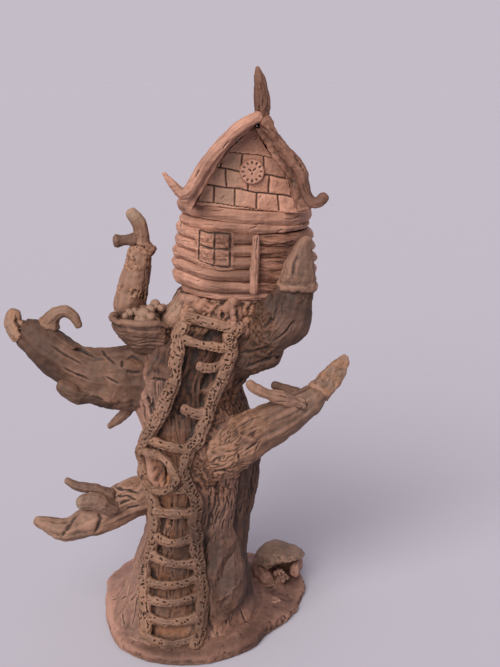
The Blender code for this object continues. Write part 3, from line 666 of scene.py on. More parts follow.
def shape_bowl(piece):
    """The nest: fine strands laid round it, and a rolled rim."""
    p = piece.points
    low, high = box_of("nest_bowl")
    centre = 0.5 * (low + high)
    turn = np.arctan2(p[:, 1] - centre[1], p[:, 0] - centre[0])
    round_it = np.column_stack([0.35 * p[:, 2], p[:, 2], turn * 3.5])
    outer = ramp(np.hypot(p[:, 0] - centre[0], p[:, 1] - centre[1]), 8, 14)
    round_it[:, 1] += 2.6 * noise(p, 13, 929)
    strands = folds(round_it, 4.0, 930)
    rim = ramp(p[:, 2], high[2] - 6, high[2] - 2)
    piece.push(outer * (0.8 * strands + 1.3 * rim + 1.2 * fractal(p, 12, 931, 2)))
    piece.points[:, 2] = high[2] - 0.88 * (high[2] - piece.z)
    fading = ramp(p[:, 0], high[0] - 14, high[0] - 4)
    piece.push(-2.2 * fading)
    piece.lift(-5.0 * fading)
    piece.along = np.column_stack([-np.sin(turn), np.cos(turn), 0 * turn])
    scored(piece, 20, 16, 0.5, 0.8, 0.6, 0.0, outer)


def shape_finger(piece):
    """Fingers laid on the branch: the end that is pressed on thins out."""
    low, high = (corner[0] for corner in box_of(piece.node))
    piece.push(0.5 - 3.2 * ramp(piece.x, 0.6 * high + 0.4 * low, 0.92 * high + 0.08 * low))


def shape_blade(piece):
    """The flat tip: its lower end thins out on the branch, its face is scraped."""
    low, high = box_of(piece.node)
    piece.push(-1.8 * ramp(piece.z, 0.75 * low[2] + 0.25 * high[2], low[2]))
    piece.push(1.3 * piece.fractal(9.0, 915))
    piece.mark("rough", ramp(piece.noise(9, 916), -0.3, 0.3))


def shape_spur(piece):
    """A stub under the arm, smeared into it behind its blunt end."""
    low = box_of(piece.node)[0][0]
    behind = ramp(piece.x, low + 11, low + 24)
    piece.push(-3.4 * behind)
    piece.lift(2.5 * behind)


def shape_upper_finger(piece):
    """The pale rounded tip over the nest."""
    high = box_of(piece.node)[1][2]
    piece.push(0.9 * ramp(piece.z, high - 16, high - 6))
    piece.mark("dust_and_light", ramp(piece.z, high - 14, high - 3))


def shape_twig(piece):
    """A side twig with a flared, hollow end."""
    low = box_of(piece.node)[0][0]
    piece.push(0.9 * ramp(piece.x, low + 6, low + 2))
    end = piece.points[piece.x < low + 1.5].mean(axis=0)
    deep = piece.lump([end, end + (2.5, 0, 0)], 2.0, -3.0)
    # Painted shade inside the hollow end
    piece.mark("crack_shade", ramp(deep, 0.3, 0.8))


def shape_nest_arm(piece):
    """Patches of the smooth tube that were roughened and pricked."""
    front = -piece.normals()[:, 1]
    for low, high, seed in ((298, 318, 1), (276, 286, 2)):
        patch = ramp(piece.z, low - 2, low + 2) * ramp(piece.z, high + 2, high - 2)
        patch = patch * ramp(piece.noise(9, 940), -0.6, 0)
        piece.push(0.9 * patch * piece.fractal(3.5, 941))
        piece.mark("rough", 0.7 * patch)
        chances = np.flatnonzero((patch > 0.4) & (front > 0))
        pricked(piece, chances, 9, 3.0, 0.55, 1.5, np.random.default_rng(seed))


SHAPED = {
    "lower_left_branch": shape_lower_branch,
    "lower_left_knot": shape_knot,
    "left_arm": shape_arm,
    "left_arm_tip": shape_tip,
    "right_branch": shape_right_branch,
    "house_hand": shape_hand,
    "nest_bowl": shape_bowl,
    "nest_arm": shape_nest_arm,
    "nest_arm_finger": shape_upper_finger,
    "nest_arm_twig": shape_twig,
    "left_arm_spur": shape_spur,
    "house_thumb": shape_thumb,
    "right_finger_front": shape_finger,
    "right_finger_rear": shape_finger,
    "right_branch_blade": shape_blade,
}
# How deep the long folds of the thick ones are
BRANCH_FOLDS = {"lower_left_branch": 1.0, "right_branch": 0.8, "left_arm": 0.55, "nest_arm": 0.25}
# How light or dark some of the branches are: below 0 is darker. The dark tones of the hand and of the spur
# under the arm are painted shade.
BRANCH_TONES = {
    "house_hand": -1.0, "house_thumb": -0.15, "nest_arm": 0.75, "nest_bowl": -0.5, "left_arm_tip": 0.5,
    "left_arm": -0.65, "left_arm_hook": -0.3, "left_arm_spur": -0.9, "right_branch": -0.3,
    "nest_arm_twig": -0.4, "nest_arm_stub": -0.3, "nest_arm_finger": 0.2, "right_finger_rear": -0.3,
    "right_branch_blade": 0.4, "right_finger_front": 0.3, "lower_left_twig": -0.6,
}


def make_branches():
    for seed, (node, (voxel, neighbours)) in enumerate(BRANCHES.items(), 30):
        piece = Sculpt(node, voxel)
        size = max(np.ptp(piece.points, axis=0))
        thick = size > 45
        piece.follow(spine_of(piece.points), 9.0)
        piece.swell_near(neighbours, min(11.0, 0.2 * size + 2), min(3.0, 0.04 * size + 0.6))
        if node != "nest_bowl":
            folds = BRANCH_FOLDS.get(node, 0.2)
            worn(piece, 19.0 if thick else 9.0, 1.5 if thick else 0.6, seed, folds, 9.0 if thick else 5.0)
        if node in SHAPED:
            SHAPED[node](piece)
            piece.cut_grooves()
        draw_scores(piece, node)
        if thick and node != "nest_bowl":
            behind = ramp(piece.y, -8, 4)
            scored(piece, 16, 22, 0.8, 1.8, 0.9, 0.1, behind)
            scored(piece, 8, 13, 0.5, 0.8, 0.45, 0.1)
        else:
            scored(piece, 4, 9, 0.45, 0.5, 0.35)
        torn(piece, 22.0, 0.8, seed + 300, 0.4)
        away = np.abs(piece.x) - 60
        dusty = 0.05 if node == "left_arm" else 0.3
        piece.mark("dust_and_light", dusty * ramp(away + 12 * piece.noise(18, seed), 5, 60))
        tone = 0.35 * piece.fractal(28, seed + 400, 2) + BRANCH_TONES.get(node, 0.0)
        if node == "left_arm":
            tone -= 0.4 * ramp(-piece.x, 95, 115)
        piece.tint(tone)
        piece.build()


# ---------------------------------------------------------------- trunk


def slice_centres(node, step=6.0):
    """Heights of slices through a CAD node, and the centre of each."""
    low, high = (corner[2] for corner in box_of(node))
    points = np.array([vertex.co for vertex in NODES[node].data.vertices]) / MM
    heights, centres = [], []
    for height in np.arange(low + step / 2, high, step):
        near = np.abs(points[:, 2] - height) < 1.6 * step
        if near.any():
            heights.append(height)
            centres.append(points[near, :2].mean(axis=0))
    return np.array(heights), np.array(centres)


TRUNK_HEIGHTS, TRUNK_CENTRES = slice_centres("trunk", 12.0)


def trunk_axis(heights):
    """The trunk's centre at each height, as x and y."""
    return (
        np.interp(heights, TRUNK_HEIGHTS, TRUNK_CENTRES[:, 0]),
        np.interp(heights, TRUNK_HEIGHTS, TRUNK_CENTRES[:, 1]),
    )


def polar(points):
    """Direction in degrees round the trunk's axis, and distance from it."""
    x, y = trunk_axis(points[:, 2])
    dx, dy = points[:, 0] - x, points[:, 1] - y
    return np.degrees(np.arctan2(dy, dx)), np.hypot(dx, dy)


def on_trunk(angle, height):
    """The point on the trunk's side at a direction in degrees and a height."""
    x, y = trunk_axis(height)
    origin = Vector((float(x), float(y), float(height))) * MM
    away = Vector((math.cos(math.radians(angle)), math.sin(math.radians(angle)), 0))
    hit = tree_of("trunk").ray_cast(origin, away)[0]
    return np.array(hit) / MM


def rail_spine(node):
    heights, centres = slice_centres(node, 5.0)
    return np.column_stack([centres, heights])


def rail_angles(node):
    spine = rail_spine(node)
    return spine[:, 2], polar(spine)[0]


def wrapped(angle):
    return (angle + 180.0) % 360.0 - 180.0


def between_rails(points):
    """How far inside the ladder's rails each point lies, in millimetres round the trunk."""
    angle, radius = polar(points)
    arc = np.radians(1) * radius
    left = np.interp(points[:, 2], *rail_angles("ladder_rail_left"))
    right = np.interp(points[:, 2], *rail_angles("ladder_rail_right"))
    return np.minimum(wrapped(angle - left), wrapped(right - angle)) * arc


def trunk_line(angle_low, low, angle_high, high, bend, count=7):
    """A wandering line up the trunk between two places given as direction and height."""
    points = []
    for k in range(count):
        share = k / (count - 1)
        sway = bend * math.sin(math.pi * share * 1.5 + angle_low)
        angle = angle_low + (angle_high - angle_low) * share + sway
        points.append(on_trunk(angle, low + (high - low) * share))
    return points


# Long valleys between the trunk's boles: lower and upper end as (direction, height), then width and depth
TRUNK_VALLEYS = (
    (-38, 52, -41, 172, 5.0, 6.5),
    (-66, 14, -84, 128, 3.2, 3.0),
    (-20, 40, -12, 150, 5.0, 3.0),
    (-160, 120, -176, 205, 4.0, 4.0),
    (-100, 190, -84, 262, 4.0, 3.0),
    (25, 30, 38, 210, 6.0, 5.0),
    (75, 20, 60, 240, 7.0, 6.0),
    (118, 25, 128, 190, 6.0, 5.0),
    (160, 20, 150, 170, 6.0, 4.5),
    (100, 150, 90, 275, 5.0, 4.0),
    (-2, 120, 8, 262, 5.0, 4.0),
    (170, 180, 140, 270, 5.0, 4.0),
)
# Scored cracks: range of direction, range of height, how many, length, width, depth and how dark their
# painted shade is
TRUNK_CRACKS = (
    (-84, -40, 96, 148, 60, 16, 0.8, 1.5, 0.6),
    (-84, -44, 40, 92, 10, 12, 0.8, 0.8, 0.35),
    (-40, 12, 90, 165, 46, 20, 0.8, 1.5, 0.6),
    (-84, -48, 12, 30, 12, 16, 0.9, 1.3, 0.8),
    (-180, -138, 12, 50, 16, 18, 0.9, 1.4, 0.9),
    (-176, -140, 165, 214, 12, 24, 1.1, 2.6, 1.0),
    (-138, -74, 20, 110, 70, 11, 0.75, 1.2, 0.8),
    (-132, -60, 180, 262, 46, 11, 0.8, 1.4, 0.75),
    (12, 178, 20, 262, 130, 26, 1.1, 2.0, 0.8),
    (-50, 12, 180, 262, 30, 18, 1.0, 1.8, 0.7),
)
# Lumps pressed on the crown and the planks: x and z along each, how wide and how high
TRUNK_LUMPS = (
    (((-11, 281), (-4, 280), (3, 277)), 4.0, 2.2),
    (((-24, 268), (-18, 266), (-15, 262)), 8.0, 3.0),
    (((27, 287), (27, 279), (28, 270), (29, 264)), 3.4, 4.6),
    (((-31, 230), (-22, 230), (-31, 225), (-22, 225)), 4.0, 3.0),
    (((37, 262), (39, 256)), 4.0, 3.5),
    (((-36, 240), (-28, 246), (-20, 244)), 4.0, 2.5),
    (((30, 205), (38, 216), (46, 232)), 5.0, 3.0),
    (((12, 204), (22, 212), (26, 224)), 4.5, 2.5),
)
# Deep folds between them, with painted shade in them
TRUNK_FOLDS = (
    (((-9, 281), (-9, 268), (-7, 252)), 1.3, 3.5),
    (((-36, 221), (-26, 220), (-18, 221)), 1.3, 3.2),
    (((3, 211), (6, 218), (12, 226), (20, 228)), 2.0, 3.5),
    (((-48, 206), (-46, 192)), 1.2, 3.0),
    (((-39, 208), (-37, 190)), 1.2, 3.0),
    (((-36, 205), (-36, 186)), 0.9, 2.0),
    (((33, 287), (33, 268), (34, 254)), 1.3, 3.5),
    (((21, 285), (21, 268)), 1.1, 2.5),
    (((-8, 273), (4, 272), (12, 276)), 1.1, 2.2),
    (((26, 200), (34, 212), (40, 226)), 1.6, 3.0),
    (((-59, 42), (-62, 31), (-67, 20)), 0.9, 1.6),
    (((-52, 43), (-54, 30), (-57, 15)), 0.9, 1.6),
    (((-66, 20), (-63, 13)), 0.9, 1.4),
    (((20, 34), (23, 22), (26, 11)), 0.9, 1.6),
    (((33, 30), (37, 17), (41, 9)), 0.9, 1.6),
    (((15, 18), (18, 9)), 0.9, 1.5),
    (((9, 17), (9, 8)), 0.9, 1.5),
)


# The torn web of clay where the right branch springs from the trunk
RIGHT_ROOT = np.array([on_trunk(-72, 148), on_trunk(-56, 166), on_trunk(-40, 186), on_trunk(-30, 205)])


def make_trunk():
    piece = Sculpt("trunk", 0.95, smooth=16)
    piece.follow(spine_of(piece.points, 14), 6.0)
    for angle_low, low, angle_high, high, width, depth in TRUNK_VALLEYS:
        piece.groove(trunk_line(angle_low, low, angle_high, high, 4.0, 12), width, depth, dark=0.0)
    piece.cut_grooves()

    p = piece.points
    height = p[:, 2]
    inside = between_rails(p)
    in_ladder = (height > 13) & (height < 264)
    hollow = ramp(inside, 0.5, 5.5) * in_ladder
    ring_centre = 0.5 * (np.array(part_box("ladder_ring")[0]) + np.array(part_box("ladder_ring")[1])) / MM
    ring = 1 - ramp(np.linalg.norm(p - ring_centre + (2, 0, -1), axis=1), 10, 16)
    crown = ramp(height, 205, 245)
    piece.push(-(5.0 + 2.0 * noise(p, 17, 70)) * hollow - 3.0 * ring)
    pebbled = ramp(height, 250, 262) * ramp(-p[:, 1], 22, 30)
    piece.push((1 - hollow) * crown * (2.0 * fractal(p, 20, 82)))
    piece.smooth(2)
    piece.mark("rough", 0.95 * hollow * ramp(noise(p, 14, 74), -0.8, 0.1))
    piece.mark("rough", ring)

    root = 1 - ramp(nearest_on(RIGHT_ROOT, piece.points)[0], 12, 32)
    scraped = root * ramp(piece.noise(11, 75), -0.8, -0.1)
    piece.mark("rough", scraped)
    places = (44, -42, 258), (40, -38, 272), (-44, -30, 231), (-50, -30, 236)
    seams = piece.near(places, 6, 12)
    piece.mark("rough", seams * ramp(piece.noise(6, 77), -0.6, 0.2))
    piece.swell_near(("right_branch", "left_arm", "lower_left_branch", "nest_arm", "house_hand"), 15.0, 3.4)
    inside_ring = ramp(np.linalg.norm(piece.points - ring_centre + (0, 0, -1), axis=1), 14, 8)
    piece.push(-1.2 * inside_ring)
    piece.lump(((-44, 158), (-44, 144)), 6.0, 2.2)
    piece.swell_near(("ladder_rail_left", "ladder_rail_right"), 4.5, 1.6)
    piece.swell_near(("root_toe",), 14.0, 6.0)

    flow = piece.flow.copy()
    sway = 4.0 * np.column_stack([piece.noise(28, 76), piece.noise(28, 77)])
    flow[:, :2] += sway
    calm = 0.12 + 0.88 * ramp(height, 80, 104)
    plates = folds(flow, 12.0, 78, 2.8, 0.7)
    flakes = folds(flow, 4.6, 83, 2.8, 0.7)
    amount = calm * (1.0 * plates + 0.55 * flakes) + 1.1 * piece.fractal(15, 79)
    amount += 1.5 * scraped * piece.fractal(5, 84) + 1.4 * seams * piece.fractal(4.5, 85)
    amount += pebbled * (2.1 * piece.fractal(6.5, 87) - 0.8)
    piece.mark("rough", 0.7 * pebbled * ramp(piece.noise(9, 88), -0.6, 0.0))
    piece.push(amount)

    for line, width, high in TRUNK_LUMPS:
        piece.lump(line, width, high)
    for line, width, deep in TRUNK_FOLDS:
        piece.groove(line, width, deep, 1.0)
    piece.cut_grooves()
    angle = polar(piece.points)[0]
    for low_angle, high_angle, low, high, count, length, width, depth, dark in TRUNK_CRACKS:
        z = piece.z
        where = (angle > low_angle) & (angle < high_angle) & (z > low) & (z < high)
        scored(piece, count, length, width, depth, dark, 0.0, where * 1.0)
    scored(piece, 60, 9, 0.7, 1.2, 0.35, 0.8, scraped)
    # Painted light and shade: the trunk is darker on its shaded front and right, on the crown under the
    # cottage and in the ladder's hollow, and lighter where the crown's top is lit and down its lit left
    # side; a few more patches are darker or lighter, and the noise is the clay's own tone
    shaded = ramp(angle, -135, -95) * ramp(angle, 40, 0) * ramp(piece.z, 18, 34)
    tone = 0.35 * piece.fractal(34, 86, 2) - 0.6 * shaded
    tone -= 0.4 * shaded * ramp(angle, -85, -70) * ramp(piece.z, 100, 75)
    tone -= 0.4 * shaded * ramp(angle, -52, -35)
    across, up = piece.x, piece.z
    lit = ramp(up, 252, 264) * ramp(across, -14, -6)
    tone -= 0.5 * ramp(up, 215, 250) * (1 - lit) + 0.35 * hollow * (1 - ring) * (1 - lit)
    tone += 0.75 * lit - 0.4 * ramp(-across, 8, 16) * ramp(up, 218, 230)
    tone += 0.4 * ramp(-across, 28, 36) * ramp(up, 205, 195) * ramp(up, 150, 160)
    piece.tint(tone + 0.95 * ramp(angle, -132, -150) * ramp(-angle, 0, 60))
    piece.mark("dust_and_light", 0.7 * piece.near(((-18, -24, 266),), 8, 16))
    piece.build()


# ---------------------------------------------------------------- ladder


RING_HEIGHT = 0.5 * (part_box("ladder_ring")[0][2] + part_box("ladder_ring")[1][2]) / MM


def slide(piece, turn, rise, out):
    """Moves points round the trunk by degrees and up it, and a little further out from its side."""
    angle = polar(piece.points)[0]
    size = np.abs(turn).max()
    for i in np.flatnonzero((np.abs(turn) > 0.05) | (np.abs(rise) > 0.05)):
        old = on_trunk(angle[i], piece.points[i, 2])
        new = on_trunk(angle[i] + turn[i], piece.points[i, 2] + rise[i])
        around = math.radians(angle[i] + turn[i])
        lift = out * (abs(turn[i]) / size if piece.node != "ladder_ring" else 1.0)
        piece.points[i] += new - old + lift * np.array([math.cos(around), math.sin(around), 0])


def make_coil(node, radius, seed, holes, fatter):
    """A rolled coil of the ladder, lumpy, flattened and pricked. Holes are per 10 mm of its length."""
    piece = Sculpt(node, 0.5, smooth=6)
    heights = piece.z
    upright = np.ptp(heights) > 60
    spine = rail_spine(node) if upright else spine_of(piece.points, 8)
    piece.follow(spine, 3.0)
    length = np.linalg.norm(np.diff(spine, axis=0), axis=1).sum()
    if node == "ladder_ring":
        length = 80.0
    x, y = trunk_axis(heights)
    outward = np.column_stack([piece.x - x, piece.y - y, 0 * x])
    outward /= np.linalg.norm(outward, axis=1)[:, None]
    facing = (piece.normals() * outward).sum(axis=1)
    amount = fatter * (1 - 0.8 * ramp(facing, 0.4, 0.9))
    amount += 0.9 * piece.fractal(10.0, seed) + 0.3 * noise(piece.flow, 2.4, seed + 1)
    piece.push(amount)
    if node == "ladder_ring":
        angle, middle = polar(piece.points)[0], piece.points.mean(axis=0)
        turn = 0.36 * (angle - polar(middle[None])[0][0]) - 3.0
        slide(piece, turn, 0.2 * (piece.z - middle[2]) + 1.5, 3.4)
        middle = piece.points.mean(axis=0)
        above = ramp(piece.z, middle[2] - 3, middle[2] + 6)
        piece.lift(4.0 * above * np.exp(-(((piece.x - middle[0] - 5) / 9) ** 2)))
    if node == "ladder_rail_left":
        ring = (heights - RING_HEIGHT) / 17.0
        slide(piece, -10.0 * np.exp(-(ring**4)), 0 * ring, 2.6)
    if "rung" in node:
        piece.swell_near(("ladder_rail_left", "ladder_rail_right"), 4.5, 1.4)
    chances = np.flatnonzero(facing > 0.25)
    random = np.random.default_rng(seed)
    pricked(piece, chances, int(holes * length / 10), 1.9 * radius, radius, 2.2, random)
    scored(piece, int(length / 9), 5, 0.5, 0.6, 0.6, 0.5)
    # Painted shade: the coils are darker on the right, away from the light, and lighter near the top; the
    # noise is the clay's own tone
    tone = 0.4 * piece.noise(22, seed + 3) - 0.15
    tone -= 0.65 * ramp(piece.x, -30, 0) * ramp(piece.z, 215, 150)
    tone += 0.2 * ramp(piece.z, 225, 250)
    piece.tint(tone)
    piece.mark("rough", 0.4 * ramp(piece.noise(12, seed + 4), 0, 0.5))
    piece.build()


def make_ladder():
    make_coil("ladder_rail_left", 0.7, 400, 11.0, 1.5)
    make_coil("ladder_rail_right", 0.7, 401, 9.0, 1.2)
    make_coil("ladder_ring", 0.6, 402, 7.0, -0.5)
    for number in range(1, 14):
        make_coil(f"ladder_rung_{number:02d}", 0.6, 402 + number, 4.6, 0.8)


# ---------------------------------------------------------------- cottage


WALL_X, WALL_Y = (np.mean([corner[k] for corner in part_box("wall_log_1")]) / MM for k in (0, 1))
BRICK_WIDTH, BRICK_HEIGHT, BRICK_SLOPE, BRICK_BASE = 15.4, 12.9, 0.15, 350.2
BRICK_ROWS = 3
BRICK_STARTS = (14.0, 23.0, 34.6)
WINDOW_LEFT, WINDOW_RIGHT, WINDOW_LOW, WINDOW_HIGH = 3.5, 26.0, 308.5, 332.5
POST_X = 45.5


def ring_flow(piece):
    """Makes a layer's flow run round the wall. Returns 1 on its outer face and 0 further in."""
    low, high = box_of(piece.node)
    half_x, half_y = 0.5 * (high[0] - low[0]), 0.5 * (high[1] - low[1])
    middle_x, middle_y = 0.5 * (high[0] + low[0]), 0.5 * (high[1] + low[1])
    dx, dy = piece.x - middle_x, piece.y - middle_y
    turn = np.arctan2(dy, dx)
    piece.out = np.column_stack([np.cos(turn), np.sin(turn), 0 * turn])
    piece.along = np.column_stack([-np.sin(turn), np.cos(turn), 0 * turn])
    piece.flow = np.column_stack([piece.z, 0.3 * np.hypot(dx, dy), turn * half_x / 7.0])
    return ramp(np.hypot(dx / half_x, dy / half_y), 0.86, 0.93)


def wall_shift(points):
    """How far the wall's layers sag and wander: one field for them all, so that they stay closed."""
    inner = ramp(points[:, 2], 288, 294) * ramp(points[:, 2], 344, 337)
    return inner * (1.5 * noise(points * (1, 1, 0.6), 26, 505) - 0.055 * (points[:, 0] - WALL_X))


def window_lines():
    """The frame and the cross of the window, each as two ends in x and z."""
    left, right, low, high = WINDOW_LEFT, WINDOW_RIGHT, WINDOW_LOW, WINDOW_HIGH
    middle_x, middle_z = 0.5 * (left + right), 0.5 * (low + high) + 0.8
    return (
        ((left, high), (right, high - 0.6)), ((left - 1.0, low + 2.5), (right - 0.5, low)),
        ((left, high), (left - 1.0, low + 2.5)), ((right, high - 0.6), (right - 0.5, low)),
        ((middle_x, high), (middle_x - 0.8, low + 1.2)),
        ((left - 0.5, middle_z + 0.8), (right, middle_z - 0.6)),
    )


def make_layer(node, seed, low_edge, waves, shift):
    """One round layer of the wall: a flat strip with rounded edges, drawn out by hand."""
    piece = Sculpt(node, 0.6, smooth=6)
    low, high = (corner[2] for corner in box_of(node))
    middle, half = 0.5 * (low + high), 0.5 * (high - low)
    outer = ring_flow(piece)
    p = piece.points
    edge = np.abs(p[:, 2] - middle) / half
    around = piece.out * 45
    front = ramp(-piece.out[:, 1], 0.1, 0.5)
    window = ramp(p[:, 0], WINDOW_LEFT - 4, WINDOW_LEFT - 1)
    window *= ramp(p[:, 0], WINDOW_RIGHT + 4, WINDOW_RIGHT + 1)
    window *= ramp(p[:, 2], WINDOW_LOW - 3, WINDOW_LOW)
    window *= ramp(p[:, 2], WINDOW_HIGH + 3, WINDOW_HIGH) * front * shift
    right = ramp(p[:, 0], POST_X, POST_X + 3) * front * shift
    piece.lift((0.3 + 0.8 * window) * (p[:, 2] - middle) / half)
    amount = np.minimum(edge, 1) ** 4 * (1.3 * window - low_edge * (1 - window) * (1 - 0.5 * right))
    amount += waves * noise(around, 24, seed) + 0.7 * fractal(p, 12.0, seed + 1, 2)
    amount += (0.5 + 1.3 * right) * fractal(piece.flow, 4.0, seed + 2) - 2.6 * right
    across = (p[:, 0] - WINDOW_LEFT) / (0.5 * (WINDOW_RIGHT - WINDOW_LEFT)) % 1
    up = (p[:, 2] - WINDOW_LOW) / (0.5 * (WINDOW_HIGH - WINDOW_LOW)) % 1
    pillow = (1 - (2 * across - 1) ** 4) * (1 - (2 * up - 1) ** 4)
    amount += window * (0.8 * pillow + 0.7 * fractal(p, 3.5, 516) - 0.3)
    piece.points += piece.out * (amount * outer)[:, None]
    piece.mark("rough", 0.85 * right)
    piece.mark("rough", 0.35 * window)
    scored(piece, 14, 22, 0.5, 0.7, 0.5, 0.0, outer * (window < 0.1))
    scored(piece, 8, 9, 0.5, 0.6, 0.45, 0.4, outer * (window < 0.1))
    seen = (outer > 0.2) & (piece.y < WALL_Y - 20)
    for (x0, z0), (x1, z1) in window_lines() if shift else ():
        path = [
            (x0 + (x1 - x0) * k / 3, 0, z0 + (z1 - z0) * k / 3 + 0.5 * math.sin(k * 2 + x0))
            for k in range(4)
        ]
        piece.groove(path, 0.52, 1.3, 1.0, seen, 0.03)
    piece.cut_grooves()
    piece.lift(shift * wall_shift(piece.points))
    shade = 0.8 * ramp(p[:, 0], -15, 25) if shift else 0.2
    piece.tint(0.4 * piece.noise(20, seed + 5) - 0.02 - shade * front)
    piece.build()


def make_layers():
    for number in range(1, 6):
        make_layer(f"wall_log_{number}", 500 + 7 * number, 2.4, 1.0, 1.0)
    make_layer("eaves_band_lower", 540, 2.2, 1.0, 0.0)
    make_layer("eaves_band_upper", 550, 1.8, 1.2, 0.0)
    make_layer("house_floor", 560, 1.6, 1.2, 0.0)


def make_gables():
    for node, face in (("gable_front", -1), ("gable_rear", 1)):
        piece = Sculpt(node, 0.55, smooth=4)
        p = piece.points
        normal = piece.normals()
        faced = ramp(face * normal[:, 1], 0.3, 0.8)
        wobble = 0.9 * noise(p, 12, 540)
        rise = p[:, 2] + BRICK_SLOPE * (p[:, 0] - WALL_X) - BRICK_BASE + wobble
        row = np.floor(rise / BRICK_HEIGHT)
        start = np.take(BRICK_STARTS, np.clip(row, 0, BRICK_ROWS - 1).astype(int))
        run = p[:, 0] - start + 0.9 * noise(p, 11, 541)
        column = np.floor(run / BRICK_WIDTH)
        from_bed = np.abs((rise / BRICK_HEIGHT + 0.5) % 1 - 0.5) * BRICK_HEIGHT
        from_joint = np.abs((run / BRICK_WIDTH + 0.5) % 1 - 0.5) * BRICK_WIDTH
        nearest = np.minimum(from_bed, from_joint)
        laid = ((row >= 0) & (row < BRICK_ROWS)) * faced
        own = np.sin(row * 12.9 + column * 78.2) * 43758.5
        own = own - np.floor(own)
        joint = np.exp(-((nearest / 0.6) ** 2)) * ramp(noise(p, 16, 544), -1.3, -0.7)
        tilt = (own - 0.5) * ((rise / BRICK_HEIGHT) % 1 - 0.5)
        amount = laid * (1.0 * (own - 0.5) + 1.6 * tilt + 0.5 * ramp(nearest, 0, 3.5) - 1.5 * joint)
        amount += 0.35 * fractal(p, 5.0, 542) + 0.5 * fractal(p, 18.0, 543, 2)
        piece.push(amount)
        # Painted shade in the brick joints
        piece.mark("crack_shade", 0.85 * laid * joint)
        # Painted light: the whole face is made lighter, and its left paler still through the dust mark,
        # where the roof's overhang shades it; painted shade darkens its right. The brick tones and the noise
        # are the clay's own.
        shade = 0.5 * ramp(p[:, 0], 38, 48)
        piece.tint(0.6 - shade + laid * (0.8 * own - 0.25) + 0.3 * noise(p, 15, 545), darkest=-0.5)
        piece.mark("dust_and_light", 0.7 * ramp(p[:, 0], 38, 28) * faced)
        piece.mark("rough", 0.4 * laid * (own > 0.7))
        piece.flow = p * (1, 1, 0.4)
        piece.along = np.tile((0.6, 0.0, 0.8), (len(p), 1))
        scored(piece, 12, 6, 0.45, 0.5, 0.45, 0.0, faced)
        piece.build()


def make_clock():
    """The clock's face: twelve ticks and two hands, cut into the disc."""
    piece = Sculpt("clock_disc", 0.4, smooth=4)
    low, high = box_of("clock_disc")
    centre = 0.5 * (low + high)
    radius = 0.5 * (high[0] - low[0])

    def on_face(turn, share):
        x, z = centre[0] + share * radius * math.sin(turn), centre[2] + share * radius * math.cos(turn)
        return x, low[1], z

    piece.push(0.2 * piece.fractal(4.0, 550))
    for hour in range(12):
        turn = math.radians(30 * hour)
        piece.groove([on_face(turn, 0.55), on_face(turn, 0.9)], 0.75, 1.1, 1.3)
    for hour, reach, width in ((10.2, 0.42, 0.7), (1.6, 0.5, 0.65), (6.1, 0.3, 0.6)):
        turn = math.radians(30 * hour)
        piece.groove([on_face(turn, 0), on_face(turn, reach)], width, 0.9, 0.9)
    piece.tint(0.6)
    piece.build()


def make_roof():
    for number, node in enumerate(("roof_slab_left", "roof_slab_right")):
        piece = Sculpt(node, 0.9, smooth=4)
        p = piece.points
        low = box_of(node)[0][1]
        front = ramp(p[:, 1], low + 9, low) * number
        piece.flow = p * (1, 0.25, 1)
        piece.along = np.tile((0.0, 1.0, 0.0), (len(p), 1))
        amount = 0.9 * fractal(p, 22.0, 560 + number) + 0.5 * fractal(piece.flow, 6.0, 562 + number, 2)
        piece.push(amount + 1.3 * front * fractal(p, 9.0, 564))
        piece.mark("rough", 0.4 * front)
        scored(piece, 50, 26, 1.0, 1.2, 0.6)
        scored(piece, 16, 8, 0.7, 1.0, 0.6, 0.8, front)
        # Painted shade: the right slab's torn front edge is darker
        piece.tint(0.5 * piece.noise(30, 568) - 0.3 - 0.6 * front)
        piece.build()
    for number, node in enumerate(("barge_roll_left", "barge_roll_right", "roof_finial", "door_post")):
        piece = Sculpt(node, 0.55, smooth=8)
        piece.follow(spine_of(piece.points, 9), 6.0)
        amount = 0.5 * piece.fractal(12.0, 570 + number)
        amount += 0.35 * folds(piece.flow, 4.5, 574 + number)
        if node == "barge_roll_right":
            ragged = ramp(piece.z, 366, 384)
            amount += ragged * (0.9 * piece.fractal(8.0, 578) + 0.8)
            piece.mark("rough", 0.35 * ragged)
        piece.push(amount)
        piece.swell_near(("roof_slab_left", "roof_slab_right"), 3.0, 0.8)
        scored(piece, 14, 12, 0.6, 0.8, 0.6)
        if node == "barge_roll_right":
            scored(piece, 16, 11, 0.6, 1.1, 0.6, 0.2, ragged)
        tone = {"roof_finial": -0.95, "barge_roll_right": -0.9, "barge_roll_left": -0.1}.get(node, -0.4)
        piece.tint(0.4 * piece.noise(16, 580) + tone)
        piece.build()


def make_house():
    make_layers()
    make_gables()
    make_clock()
    make_roof()


# ---------------------------------------------------------------- foot and nest


def make_lumps(node, places, voxel=0.45):
    """Pellets pressed into a heap: balls of (x, y, z, radius), each a little out of round."""
    random = np.random.default_rng(len(places) + 5)
    bm = bmesh.new()
    for x, y, z, radius in places:
        stretch = random.uniform(0.82, 1.2, 3) * radius
        turn = Matrix.Rotation(random.uniform(0, 3.1), 4, random.normal(size=3))
        matrix = Matrix.Translation((x, y, z)) @ turn @ Matrix.Diagonal((*stretch, 1))
        bmesh.ops.create_icosphere(bm, subdivisions=3, radius=1.0, matrix=matrix)
    bmesh.ops.scale(bm, vec=(MM, MM, MM), verts=bm.verts)
    mesh = bpy.data.meshes.new(node)
    bm.to_mesh(mesh)
    bm.free()
    piece = Sculpt(node, voxel, smooth=1, mesh=mesh)
    piece.push(0.25 * piece.fractal(3.5, 700))
    piece.tint((0.9 if node == "nest_eggs" else -0.3) + 0.4 * piece.noise(9, 702))
    piece.mark("dust_and_light", 0.3 if node == "nest_eggs" else 0.0)
    piece.build()


